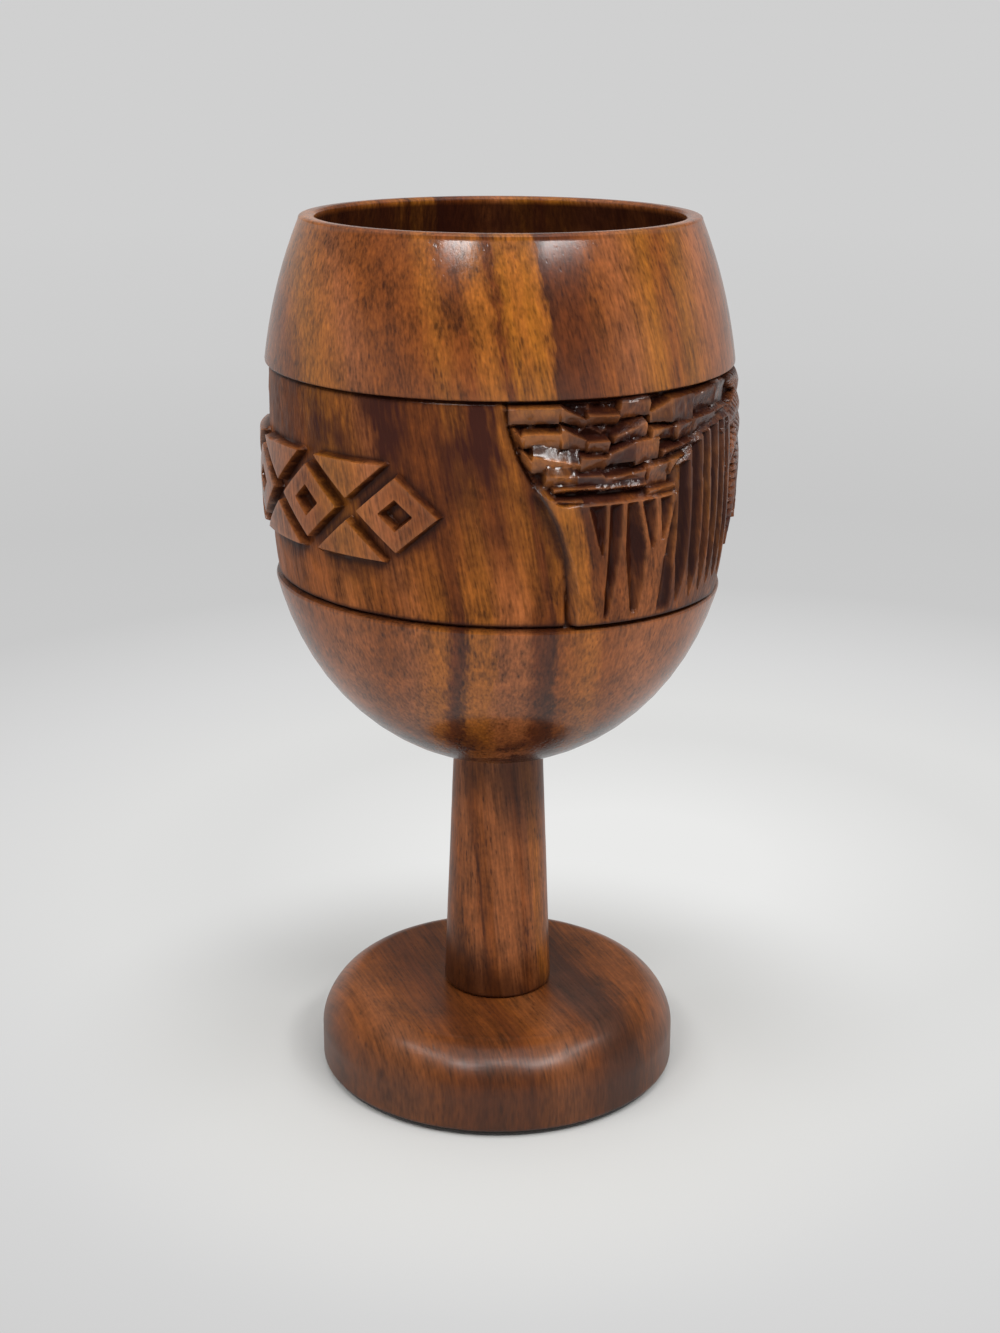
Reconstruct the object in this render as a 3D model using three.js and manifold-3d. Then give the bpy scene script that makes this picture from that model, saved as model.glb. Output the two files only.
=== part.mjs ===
// A turned wooden goblet with a carved band round its bowl, in millimetres, with +Z up.
// The origin is the centre of the felt's underside. An azimuth of 0 faces the front (-Y) and grows
// towards +X. The bowl, the stem and the foot are turned apart and glued together by round tenons.
import * as THREE from "three";
import { mergeVertices } from "three/addons/utils/BufferGeometryUtils.js";
import Module from "manifold-3d";

const wasm = await Module();
wasm.setup();

// Felt under the foot
const FELT_THICKNESS = 1.5;
const FELT_SETBACK = 1.3;

// Foot
const FOOT_RADIUS = 39.8;
const FOOT_BOTTOM_ROUND = 0.6;
const FOOT_SIDE_HEIGHT = 7.6;
const FOOT_SHOULDER_IN = 8.6;
const FOOT_SHOULDER_UP = 10.4;
const FOOT_SHOULDER_FULLNESS = 1.7;
const FOOT_DISH = 0.6;
const FOOT_SEAT_MARGIN = 1;

// Stem
const STEM_LENGTH = 55.7;
const STEM_FOOT_RADIUS = 12.0;
const STEM_BOWL_RADIUS = 9.8;
const STEM_END_ROUND = 1.2;

// Tenons turned on the stem's ends, and the sockets bored for them
const BOWL_TENON_RADIUS = 6.0;
const BOWL_TENON_LENGTH = 12.0;
const FOOT_TENON_RADIUS = 8.0;
const FOOT_TENON_LENGTH = 12.0;
const GLUE_GAP = 0.3;
const SOCKET_END_GAP = 0.5;
const TENON_CHAMFER = 0.5;

// Bowl
const BOWL_HEIGHT = 115.4;
const BELLY_RADIUS = 49.8;
const BELLY_ABOVE_SEAT = 66.0;
const RIM_RADIUS = 40.8;
const RIM_WALL = 3.2;
const BELLY_WALL = 6.8;
const FLOOR_OVER_SOCKET = 5.4;
const SEAT_LIP = 0.4;
const UPPER_FULLNESS = 2.37;
const LOWER_FULLNESS = 2.45;
const LOWER_ROUNDNESS = 1.9;

// Carved band: the ground is cut down between the collar's edge and the lower groove
const COLLAR_HEIGHT = 29.8;
const COLLAR_EDGE_ROUND = 0.6;
const GROOVE_ABOVE_SEAT = 41.0;
const GROOVE_WIDTH = 1.2;
const GROOVE_DEPTH = 0.8;
const GROUND_DEPTH_AT_EDGES = 1.0;
const GROUND_DEPTH_AT_MIDDLE = 1.9;
const RELIEF_ROOT = 0.8;
const RELIEF_PROUD = 0.3;
const RELIEF_GAP_TOP = 0.9;
const CUTTER_REACH = 10;

// Raised frieze: lozenges with triangles above and below between them, in degrees round the bowl
// and millimetres up it
const FRIEZE_RIGHT_END = -10.5;
const FRIEZE_UNITS = 5;
const FRIEZE_UNIT_SPAN = 26;
const FRIEZE_HEIGHT = 19;
const FRIEZE_MIDDLE_UP_BAND = 21.4;
const FRIEZE_CHANNEL = 3;
const LOZENGE_HOLE_SHARE = 0.42;

// Grove panel: leaf shingles over forked trunks and flutes, with a palm in the middle
const PANEL_MIDDLE = 104.5;
const SHINGLE_ROWS = 6;
const SHINGLE_HEIGHT = 3.2;
const SHINGLE_SPAN = 7.6;
const SHINGLE_GAP = 0.35;
const SHINGLE_DEEP = 1.6;
const SHINGLE_PROUD = 0.2;
const SHINGLE_BORDER_SPAN = 2.2;
const RIDGE_SPAN = 1.1;
const RIDGE_FOOT_SPAN = 2.8;
const RIDGE_FOOT_HEIGHT = 5;
const RIDGE_RUN_OUT = 1;
const FROND_STEM_SHARE = 0.12;
const FROND_FULLNESS = 0.6;
const PALM_HALF_SPAN = 38;
const PALM_CROWN_UP_BAND = 31.5;

// Outlines of one half of the panel: degrees from its middle line, then millimetres up the band.
// PANEL_EDGE is the panel's own border.
const PANEL_EDGE = [
  [87, 0], [88, 6], [88.9, 12], [91, 18.5], [94.5, 24.5], [97.5, 30], [100, 35], [102.8, 43],
];
const EDGE_TRUNK = [
  [79.9, 0], [80.3, 8], [81.1, 14], [83.2, 19.5], [84.9, 23.8], [93.1, 24.6], [98.9, 35], [101.1, 43],
];
const CANOPY_EDGE = [[94.5, 23.8], [61.5, 23.8], [56.5, 31.3], [52.5, 33.8], [PALM_HALF_SPAN, 32]];
const SMALL_TRUNK = [[77.2, -1], [72.7, -1], [74.9, 8], [75.1, 25], [76.1, 25], [76.2, 13]];
const THIN_ROOT = [[79.7, 13], [80.6, 13], [80.4, 25], [79.4, 25]];
const FORKED_TRUNK = [
  [69.8, -1], [64.3, -1], [64.2, 10], [62.9, 17], [60.9, 25], [62.1, 25], [64.7, 14.6], [65.8, 25],
  [67, 25], [67.6, 12.9], [71, 25], [72.3, 25], [69.4, 9],
];
const RIDGES = [[60.7, 25], [55.9, 31.5], [51.4, 33.5], [47.3, 34], [43.5, 33], [40.1, 30]];

// Palm fronds: where each bends and where it ends, and its half width in millimetres
const FRONDS = [
  { bend: [16, 43], tip: [36, 43], half: 3.0 },
  { bend: [22, 40], tip: [42, 33], half: 3.2 },
  { bend: [26, 36], tip: [39, 24], half: 3.2 },
  { bend: [28, 27], tip: [35, 8], half: 3.4 },
  { bend: [16, 27], tip: [19, 11], half: 2.9 },
];
const PALM_TRUNK = [[4.6, -1], [3.4, 30], [-3.4, 30], [-4.6, -1]];
const PALM_TOP_FROND = [[2.2, 30], [3.6, 37], [0, 43.2], [-3.6, 37], [-2.2, 30]];
const COCONUTS = [[4.2, 29.4], [-4.2, 29.4], [0, 26.6]];
const COCONUT_RADIUS = 2.6;

// Facets
const BOWL_SIDES = 48;
const FOOT_SIDES = 48;
const STEM_SIDES = 24;

// Heights that follow from the sizes above
const footBottom = FELT_THICKNESS;
const footTop = footBottom + FOOT_SIDE_HEIGHT + FOOT_SHOULDER_UP;
const stemBottom = footTop - FOOT_DISH;
const seat = stemBottom + STEM_LENGTH;
const rim = seat + BOWL_HEIGHT;
const belly = seat + BELLY_ABOVE_SEAT;
const collarEdge = rim - COLLAR_HEIGHT;
const groove = seat + GROOVE_ABOVE_SEAT;
const bandBottom = groove + GROOVE_WIDTH / 2;
const bandHeight = collarEdge - bandBottom;
const innerFloor = seat + BOWL_TENON_LENGTH + SOCKET_END_GAP + FLOOR_OVER_SOCKET;

const degrees = Math.PI / 180;
const mix = (a, b, t) => a + (b - a) * t;
const steps = (count) => Array.from({ length: count + 1 }, (_, i) => i / count);

// The lower half of a bowl as a superellipse that reaches the given radius at the given height.
function lowerHalf(radius, top, endRadius, endHeight) {
  const endShare = (1 - (endRadius / radius) ** LOWER_ROUNDNESS) ** (1 / LOWER_FULLNESS);
  const depth = (top - endHeight) / endShare;
  return (z) => {
    const share = Math.min(1, (top - z) / depth);
    return radius * (1 - share ** LOWER_FULLNESS) ** (1 / LOWER_ROUNDNESS);
  };
}

const seatRadius = STEM_BOWL_RADIUS + SEAT_LIP;
const blankBelow = lowerHalf(BELLY_RADIUS, belly, seatRadius, seat);

// The outside of the turned blank, before the band is carved into it.
function blankRadius(z) {
  if (z <= belly) return blankBelow(z);
  return BELLY_RADIUS - (BELLY_RADIUS - RIM_RADIUS) * ((z - belly) / (rim - belly)) ** UPPER_FULLNESS;
}

const innerBelly = BELLY_RADIUS - BELLY_WALL;
const innerRim = RIM_RADIUS - RIM_WALL;
const hollowBelow = lowerHalf(innerBelly, belly, 0, innerFloor);

// The inside of the cup.
function hollowRadius(z) {
  if (z <= belly) return hollowBelow(z);
  return innerBelly - (innerBelly - innerRim) * ((z - belly) / (rim - belly)) ** UPPER_FULLNESS;
}

// The carved ground, deepest halfway up the band.
function groundRadius(z) {
  const fromMiddle = (2 * (z - bandBottom)) / bandHeight - 1;
  return blankRadius(z) - mix(GROUND_DEPTH_AT_MIDDLE, GROUND_DEPTH_AT_EDGES, Math.min(1, fromMiddle ** 2));
}

const point = (r, z) => new THREE.Vector2(r, z);

function turned(profile, sides) {
  return new THREE.LatheGeometry(profile, sides).rotateX(Math.PI / 2);
}

// A geometry as a manifold-3d solid, without its normals and uvs, and back.
function solid(geometry) {
  const bare = new THREE.BufferGeometry().setAttribute("position", geometry.getAttribute("position"));
  if (geometry.index) bare.setIndex(geometry.index);
  const merged = mergeVertices(bare, 1e-4);
  const vertProperties = merged.getAttribute("position").array;
  const triVerts = new Uint32Array(merged.index.array);
  return new wasm.Manifold(new wasm.Mesh({ numProp: 3, vertProperties, triVerts }));
}

function geometryOf(made) {
  const mesh = made.getMesh();
  return new THREE.BufferGeometry()
    .setAttribute("position", new THREE.BufferAttribute(new Float32Array(mesh.vertProperties), 3))
    .setIndex(new THREE.BufferAttribute(new Uint32Array(mesh.triVerts), 1));
}

function place(azimuth, radius, z) {
  const a = azimuth * degrees;
  return [radius * Math.sin(a), -radius * Math.cos(a), z];
}

// A closed body from two matching loops of points, an inner one and an outer one, and the
// triangles that fill each loop's flat outline.
function bodyBetween(inner, outer, faces, loops) {
  const count = inner.length;
  const index = [];
  for (const [a, b, c] of faces) index.push(a, c, b, count + a, count + b, count + c);
  for (const loop of loops)
    loop.forEach((a, i) => {
      const b = loop[(i + 1) % loop.length];
      index.push(a, b, count + b, a, count + b, count + a);
    });
  const geometry = new THREE.BufferGeometry();
  geometry.setAttribute("position", new THREE.Float32BufferAttribute([...inner, ...outer].flat(), 3));
  return solid(geometry.setIndex(index));
}

const prismInside = innerBelly;
const prismOutside = BELLY_RADIUS + CUTTER_REACH;

// A prism that points away from the bowl's axis, over an outline of [azimuth, height] points.
function radialPrism(outline, hole = []) {
  const ccw = (loop, wanted) => {
    const made = loop.map(([a, z]) => point(a, z));
    return THREE.ShapeUtils.isClockWise(made) === wanted ? made.reverse() : made;
  };
  const contour = ccw(outline, true);
  const holes = hole.length ? [ccw(hole, false)] : [];
  const faces = THREE.ShapeUtils.triangulateShape(contour, holes);
  const all = [...contour, ...holes.flat()];
  const ring = (radius) => all.map((p) => place(p.x, radius, p.y));
  const loops = [contour.map((_, i) => i), ...holes.map((h) => h.map((_, i) => contour.length + i))];
  return bodyBetween(ring(prismInside), ring(prismOutside), faces, loops);
}

// Turned body of the bowl: socket, underside, groove, cut-down ground, collar, lip and cup.
function bowlProfile() {
  const lipHeight = rim - RIM_WALL / 2;
  const edge = COLLAR_EDGE_ROUND;
  const half = GROOVE_WIDTH / 2;
  const socketEnd = seat + BOWL_TENON_LENGTH + SOCKET_END_GAP;
  const socketRadius = BOWL_TENON_RADIUS + GLUE_GAP;
  const underside = steps(9).map((t) => {
    const z = mix(seat, groove - half, 1 - Math.cos((t * Math.PI) / 2));
    return point(blankRadius(z), z);
  });
  const ground = steps(5).map((t) => {
    const z = mix(bandBottom, collarEdge, t);
    return point(groundRadius(z), z);
  });
  const collar = steps(4).map((t) => {
    const z = mix(collarEdge + edge, lipHeight, t);
    return point(blankRadius(z), z);
  });
  const lipMiddle = (hollowRadius(lipHeight) + blankRadius(lipHeight)) / 2;
  const lipHalf = (blankRadius(lipHeight) - hollowRadius(lipHeight)) / 2;
  const lip = steps(4).slice(1, -1).map((t) => {
    const a = Math.PI * t;
    return point(lipMiddle + lipHalf * Math.cos(a), lipHeight + (rim - lipHeight) * Math.sin(a));
  });
  const throat = steps(4).slice(0, -1).map((t) => {
    const z = mix(lipHeight, belly, t);
    return point(hollowRadius(z), z);
  });
  const hollow = steps(7).map((t) => {
    const z = mix(belly, innerFloor, Math.sin((t * Math.PI) / 2));
    return point(hollowRadius(z), z);
  });
  return [
    point(0, socketEnd),
    point(socketRadius, socketEnd),
    point(socketRadius, seat),
    ...underside,
    point(groundRadius(groove) - GROOVE_DEPTH, groove),
    ...ground,
    point(blankRadius(collarEdge) - edge, collarEdge),
    ...collar,
    ...lip,
    ...throat,
    ...hollow,
  ];
}

// The wood that the carver leaves standing: a sleeve from below the ground to just over the blank.
function reliefSleeve() {
  const top = collarEdge - RELIEF_GAP_TOP;
  const rise = steps(5).map((t) => mix(bandBottom, top, t));
  const outside = rise.map((z) => point(blankRadius(z) + RELIEF_PROUD, z));
  const inside = rise.map((z) => point(groundRadius(z) - RELIEF_ROOT, z)).reverse();
  return solid(turned([...inside, ...outside, inside[0]], BOWL_SIDES));
}

const degreesPerMillimetre = 1 / (BELLY_RADIUS * degrees);

// Lozenges and triangles stand on one diagonal lattice, and each edge is set back from it by half
// of the channel. The two ends of the row are cut square, through the middle of a triangle.
function frieze() {
  const halfHeight = FRIEZE_HEIGHT / 2;
  const halfWidth = FRIEZE_UNIT_SPAN / 2 / degreesPerMillimetre;
  const diagonal = Math.hypot(halfWidth, halfHeight);
  const share = 1 - (FRIEZE_CHANNEL / 2) * (diagonal / (halfWidth * halfHeight));
  const middle = bandBottom + FRIEZE_MIDDLE_UP_BAND;
  const at = (azimuth, x, z) => [azimuth + x * halfWidth * degreesPerMillimetre, middle + z * halfHeight];
  const lozenge = (azimuth, size) =>
    [[-1, 0], [0, -1], [1, 0], [0, 1]].map(([x, z]) => at(azimuth, x * size, z * size));
  const made = [];
  for (let i = 0; i <= FRIEZE_UNITS; i++) {
    const boundary = FRIEZE_RIGHT_END - i * FRIEZE_UNIT_SPAN;
    const left = i === FRIEZE_UNITS ? 0 : -share;
    const right = i === 0 ? 0 : share;
    for (const side of [-1, 1]) {
      const triangle = [[left, side], [0, side * (1 - share)], [right, side]];
      made.push(radialPrism(triangle.map(([x, z]) => at(boundary, x, z))));
    }
    if (i === FRIEZE_UNITS) break;
    const centre = boundary - FRIEZE_UNIT_SPAN / 2;
    made.push(radialPrism(lozenge(centre, share), lozenge(centre, share * LOZENGE_HOLE_SHARE)));
  }
  return made;
}

// Linear reading of a list of [x, y] points, ordered by x either way.
function readAt(points, x) {
  const ordered = points[0][0] > points.at(-1)[0] ? [...points].reverse() : points;
  if (x <= ordered[0][0]) return ordered[0][1];
  const i = ordered.findIndex(([px]) => px >= x);
  if (i < 0) return ordered.at(-1)[1];
  const [[x0, y0], [x1, y1]] = [ordered[i - 1], ordered[i]];
  return mix(y0, y1, (x - x0) / (x1 - x0));
}

const panelReach = (up) => readAt(PANEL_EDGE.map(([x, z]) => [z, x]), up);
const canopyBottom = (reach) => readAt(CANOPY_EDGE, reach);
const onPanel = (side) => ([reach, up]) => [PANEL_MIDDLE + side * reach, bandBottom + up];

// A frond's outline: a bent midrib with a width that swells and runs out to a point.
function frondOutline({ bend, tip, half }) {
  const crown = [0, PALM_CROWN_UP_BAND];
  const scale = ([x, z]) => point(x / degreesPerMillimetre, z);
  const midrib = new THREE.QuadraticBezierCurve(scale(crown), scale(bend), scale(tip));
  const side = (t, sign) => {
    const p = midrib.getPoint(t);
    const along = midrib.getTangent(t);
    const width = sign * half * Math.sin(Math.PI * mix(FROND_STEM_SHARE, 1, t)) ** FROND_FULLNESS;
    return [(p.x - along.y * width) * degreesPerMillimetre, p.y + along.x * width];
  };
  const ts = steps(5);
  return [...ts.map((t) => side(t, 1)), ...ts.slice(0, -1).reverse().map((t) => side(t, -1))];
}

function ridgeOutline([middle, top]) {
  const half = RIDGE_SPAN / 2;
  const foot = RIDGE_FOOT_SPAN / 2;
  return [
    [middle - foot, -RIDGE_RUN_OUT],
    [middle - half, RIDGE_FOOT_HEIGHT],
    [middle - half, top + RIDGE_RUN_OUT],
    [middle + half, top + RIDGE_RUN_OUT],
    [middle + half, RIDGE_FOOT_HEIGHT],
    [middle + foot, -RIDGE_RUN_OUT],
  ];
}

const circleOutline = ([x, z]) =>
  steps(10).slice(1).map((t) => {
    const a = 2 * Math.PI * t;
    return [x + COCONUT_RADIUS * Math.cos(a) * degreesPerMillimetre, z + COCONUT_RADIUS * Math.sin(a)];
  });

// Everything in the panel that keeps the blank's surface as its face.
function panelPrisms() {
  const edgeTrunk = [...PANEL_EDGE, ...[...EDGE_TRUNK].reverse()];
  const halves = [edgeTrunk, SMALL_TRUNK, THIN_ROOT, FORKED_TRUNK];
  halves.push(...RIDGES.map(ridgeOutline), ...FRONDS.map(frondOutline));
  const middle = [PALM_TRUNK, PALM_TOP_FROND, ...COCONUTS.map(circleOutline)];
  return [
    ...[-1, 1].flatMap((side) => halves.map((outline) => radialPrism(outline.map(onPanel(side))))),
    ...middle.map((outline) => radialPrism(outline.map(onPanel(1)))),
  ];
}

// One leaf shingle: a block whose face slopes back from a proud top edge to a deep bottom edge.
function shingle(from, to, top, bottom) {
  const corners = [[from, top], [from, bottom], [to, bottom], [to, top]];
  const root = corners.map(([a, z]) => place(a, groundRadius(z) - RELIEF_ROOT, z));
  const faceRadius = (z) => (z === top ? blankRadius(z) + SHINGLE_PROUD : blankRadius(z) - SHINGLE_DEEP);
  const face = corners.map(([a, z]) => place(a, faceRadius(z), z));
  return bodyBetween(root, face, [[0, 1, 2], [0, 2, 3]], [[0, 1, 2, 3]]);
}

// Rows of shingles fill the canopy, with each row set half a shingle along from the one above it.
function shingles() {
  const made = [];
  const gapSpan = SHINGLE_GAP * degreesPerMillimetre;
  const top = bandHeight - RELIEF_GAP_TOP;
  for (let row = 0; row < SHINGLE_ROWS; row++) {
    const upper = top - row * SHINGLE_HEIGHT;
    const lower = upper - SHINGLE_HEIGHT + SHINGLE_GAP;
    const start = panelReach(lower) - SHINGLE_BORDER_SPAN - (row % 2 ? SHINGLE_SPAN / 2 : 0);
    for (let reach = start; reach - SHINGLE_SPAN > PALM_HALF_SPAN; reach -= SHINGLE_SPAN) {
      const near = reach - SHINGLE_SPAN + gapSpan;
      const floor = Math.max(canopyBottom(reach), canopyBottom(near), canopyBottom((reach + near) / 2));
      if (lower < floor) continue;
      for (const side of [-1, 1]) {
        const ends = [PANEL_MIDDLE + side * reach, PANEL_MIDDLE + side * near].sort((a, b) => a - b);
        made.push(shingle(ends[0], ends[1], bandBottom + upper, bandBottom + lower));
      }
    }
  }
  return made;
}

function bowlGeometry() {
  const body = solid(turned(bowlProfile(), BOWL_SIDES));
  const standing = wasm.Manifold.union([...frieze(), ...panelPrisms()]).intersect(reliefSleeve());
  return geometryOf(wasm.Manifold.union([body, standing, ...shingles()]));
}

function stemGeometry() {
  const round = STEM_END_ROUND;
  const taper = (z) => mix(STEM_FOOT_RADIUS, STEM_BOWL_RADIUS, (z - stemBottom) / STEM_LENGTH);
  const end = steps(3).map((t) => {
    const a = (t * Math.PI) / 2;
    const z = stemBottom + round * (1 - Math.cos(a));
    return point(taper(z) - round * (1 - Math.sin(a)), z);
  });
  const shaft = steps(4).slice(1).map((t) => {
    const z = mix(stemBottom + round, seat, t);
    return point(taper(z), z);
  });
  const footTenonEnd = stemBottom - FOOT_TENON_LENGTH;
  const bowlTenonEnd = seat + BOWL_TENON_LENGTH;
  return turned(
    [
      point(0, footTenonEnd),
      point(FOOT_TENON_RADIUS - TENON_CHAMFER, footTenonEnd),
      point(FOOT_TENON_RADIUS, footTenonEnd + TENON_CHAMFER),
      point(FOOT_TENON_RADIUS, stemBottom),
      ...end,
      ...shaft,
      point(BOWL_TENON_RADIUS, seat),
      point(BOWL_TENON_RADIUS, bowlTenonEnd - TENON_CHAMFER),
      point(BOWL_TENON_RADIUS - TENON_CHAMFER, bowlTenonEnd),
      point(0, bowlTenonEnd),
    ],
    STEM_SIDES,
  );
}

function footGeometry() {
  const socketRadius = FOOT_TENON_RADIUS + GLUE_GAP;
  const socketEnd = stemBottom - FOOT_TENON_LENGTH - SOCKET_END_GAP;
  const sideTop = footBottom + FOOT_SIDE_HEIGHT;
  const power = 2 / FOOT_SHOULDER_FULLNESS;
  const shoulder = steps(7).map((t) => {
    const inwards = FOOT_SHOULDER_IN * (1 - Math.cos((t * Math.PI) / 2) ** power);
    const upwards = FOOT_SHOULDER_UP * Math.sin((t * Math.PI) / 2) ** power;
    return point(FOOT_RADIUS - inwards, sideTop + upwards);
  });
  return turned(
    [
      point(0, footBottom),
      point(FOOT_RADIUS - FOOT_BOTTOM_ROUND, footBottom),
      point(FOOT_RADIUS, footBottom + FOOT_BOTTOM_ROUND),
      ...shoulder,
      point(STEM_FOOT_RADIUS + FOOT_SEAT_MARGIN, stemBottom),
      point(socketRadius, stemBottom),
      point(socketRadius, socketEnd),
      point(0, socketEnd),
    ],
    FOOT_SIDES,
  );
}

function feltGeometry() {
  const radius = FOOT_RADIUS - FELT_SETBACK;
  const section = [point(0, 0), point(radius, 0), point(radius, footBottom), point(0, footBottom)];
  return turned(section, FOOT_SIDES);
}

const bowlWood = new THREE.MeshStandardMaterial({ color: "#8f5526", roughness: 0.38, metalness: 0 });
const stemWood = new THREE.MeshStandardMaterial({ color: "#7c4a24", roughness: 0.42, metalness: 0 });
const footWood = new THREE.MeshStandardMaterial({ color: "#74401f", roughness: 0.42, metalness: 0 });
const felt = new THREE.MeshStandardMaterial({ color: "#1c1512", roughness: 0.95, metalness: 0 });

function piece(name, geometry, material) {
  const mesh = new THREE.Mesh(geometry, material);
  mesh.name = name;
  return mesh;
}

const goblet = new THREE.Group();
goblet.add(
  piece("felt_pad", feltGeometry(), felt),
  piece("foot", footGeometry(), footWood),
  piece("stem", stemGeometry(), stemWood),
  piece("bowl", bowlGeometry(), bowlWood),
);

export default goblet;
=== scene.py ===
# %% [markdown]
# A carved wooden goblet, finished in Blender around a fixed construction model.
#
# The construction model holds four plain solids: a bowl, a stem, a foot and a felt pad. This lesson
# makes the surface that the eye sees: the turned profiles, the carving round the bowl and the
# lacquered hardwood. The construction model is loaded as a frame, so every piece made here already
# stands in its place, in metres, with +Z up.

# %% Load the construction model
import math

import bmesh
import bpy
import numpy as np
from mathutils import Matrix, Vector


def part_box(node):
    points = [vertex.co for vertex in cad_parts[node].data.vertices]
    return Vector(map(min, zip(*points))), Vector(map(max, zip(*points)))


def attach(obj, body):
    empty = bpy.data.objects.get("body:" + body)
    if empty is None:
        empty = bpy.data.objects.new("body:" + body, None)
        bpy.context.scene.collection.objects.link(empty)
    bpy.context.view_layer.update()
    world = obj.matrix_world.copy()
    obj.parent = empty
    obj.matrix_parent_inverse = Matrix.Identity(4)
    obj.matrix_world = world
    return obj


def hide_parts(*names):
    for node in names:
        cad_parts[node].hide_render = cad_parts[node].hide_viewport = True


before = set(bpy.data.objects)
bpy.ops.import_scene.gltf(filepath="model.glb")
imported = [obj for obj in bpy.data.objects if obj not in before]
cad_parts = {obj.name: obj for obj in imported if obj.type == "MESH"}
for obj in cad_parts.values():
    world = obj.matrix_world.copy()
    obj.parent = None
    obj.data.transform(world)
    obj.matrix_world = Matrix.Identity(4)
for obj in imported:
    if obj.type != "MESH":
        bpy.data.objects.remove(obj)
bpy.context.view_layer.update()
MM = 0.001

# %% [markdown]
# Three helpers serve every step below. One puts a new object into the scene. One turns a colour,
# written as sRGB hex, into the linear numbers that Blender works with. The third adds
# one node with its settings and its links, whichever kind of tree it goes into.

# %% Helpers for objects, colours and nodes
MAIN_SETTING = {
    "Math": "operation",
    "VectorMath": "operation",
    "MapRange": "interpolation_type",
    "Mix": "data_type",
    "Attribute": "attribute_name",
}


def new_object(name, data):
    obj = bpy.data.objects.new(name, data)
    bpy.context.collection.objects.link(obj)
    return obj


def linear(colour):
    """Linear RGBA of a hex colour such as "#8A4E2A", or of a grey level that is linear already."""
    if not isinstance(colour, str):
        return [colour, colour, colour, 1.0]
    parts = [int(colour[i : i + 2], 16) / 255 for i in (1, 3, 5)]
    return [c / 12.92 if c <= 0.04045 else ((c + 0.055) / 1.055) ** 2.4 for c in parts] + [1.0]


def add(tree, kind, *values, **settings):
    """One node. Its kind may end in its main setting, as in "Math.ADD". The values fill its inputs in
    order, or by name from a dict. Each is a number, a hex colour, or a node or socket to link from."""
    kind, _, main = kind.partition(".")
    node = tree.nodes.new(kind if kind.startswith(("Geometry", "NodeGroup")) else "ShaderNode" + kind)
    if main:
        settings[MAIN_SETTING[kind]] = main
    for name, value in settings.items():
        setattr(node, name, value)
    if values and isinstance(values[0], dict):
        pairs = [(node.inputs[name], value) for name, value in values[0].items()]
    else:
        pairs = zip([socket for socket in node.inputs if socket.enabled], values)
    for socket, value in pairs:
        if isinstance(value, bpy.types.Node):
            value = next(output for output in value.outputs if output.enabled)
        if isinstance(value, bpy.types.NodeSocket):
            tree.links.new(value, socket)
        else:
            socket.default_value = linear(value) if isinstance(value, str) else value
    return node


def new_material(name):
    material = bpy.data.materials.new(name)
    material.use_nodes = True
    material.node_tree.nodes.clear()
    return material, material.node_tree


# %% [markdown]
# The camera comes early, because it says how large a detail has to be before it shows. It stands a
# little above the rim and looks down at the goblet. Its place was worked out from the ovals that
# the rim, the collar, the groove and the foot make in the picture: a round edge seen from above
# gives the tilt, and how fast the ovals open towards the foot gives the distance.

# %% The camera
CAMERA_PLACE = (0.29 * MM, -431.3 * MM, 230.6 * MM)
CAMERA_PITCH_DOWN = 0.3087
CAMERA_ROLL = 0.0044
FRAME_SIZE = (1000, 1333)
FOCAL_LENGTH_PX = 2078.6
SENSOR = 36.0

camera = new_object("camera", bpy.data.cameras.new("camera"))
camera.location = CAMERA_PLACE
camera.rotation_euler = (math.pi / 2 - CAMERA_PITCH_DOWN, 0, 0)
camera.rotation_euler.rotate_axis("Z", CAMERA_ROLL)
camera.data.sensor_width = SENSOR
camera.data.lens = FOCAL_LENGTH_PX * SENSOR / max(FRAME_SIZE)
bpy.context.scene.camera = camera
print("lens, mm:", round(camera.data.lens, 2))

# %% [markdown]
# The wood is monkeypod, a tropical hardwood that island workshops turn bowls from. Its heartwood
# runs from gold through reddish brown to a purplish chocolate, in bands a few millimetres to a
# few centimetres wide. The bands are the tree's growth layers, which are sheets inside the block.
# A painted stripe would follow the surface, but a sheet is cut by it, so the colour is worked out
# from the point's place in the block: how far across the sheets it lies. Then the inside of the
# bowl, the carving and the back all agree with the front, as they do on the real piece.
#
# A sheet isn't flat. Slow noise bends it by a millimetre or two, and faster noise, drawn out along
# the grain, frays its edges into threads.

# %% The growth layers
TONES = {
    "gold": "#885016",
    "honey": "#8A4F1A",
    "tan": "#824A26",
    "brown": "#743D15",
    "russet": "#6A3613",
    "umber": "#582A0F",
    "chocolate": "#43200F",
    "smoke": "#4A2818",
}
# of each wave: millimetres across and along the grain, detail, swing, and its place in the noise
SHEET_WAVES = [(26, 50, 1, 2.6, 0), (3.0, 34, 3, 3.0, 5), (0.7, 14, 2, 3.2, 7)]


def object_place(tree):
    """The point's place on the piece, in millimetres: its three parts."""
    here = add(tree, "TexCoord").outputs["Object"]
    return add(tree, "SeparateXYZ", add(tree, "VectorMath.SCALE", here, 1 / MM)).outputs


def noise(tree, place, width, length, detail=2.0, shift=0.0, kind="TexNoise"):
    """Noise with features `width` mm across the grain and `length` mm along it."""
    scale = (1 / width, 1 / width, 1 / length)
    spot = add(tree, "Mapping", {"Vector": place, "Scale": scale, "Location": (shift, shift, shift)})
    return add(tree, kind, spot, 1.0, detail)


def waved(tree, value, place, waves, shift):
    """The value with waves of noise added, each plus or minus half its swing."""
    for width, length, detail, swing, offset in waves:
        wave = noise(tree, place, width, length, detail, shift + offset)
        value = add(tree, "Math.ADD", value, add(tree, "Math.MULTIPLY_ADD", wave, swing, -swing / 2))
    return value


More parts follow.
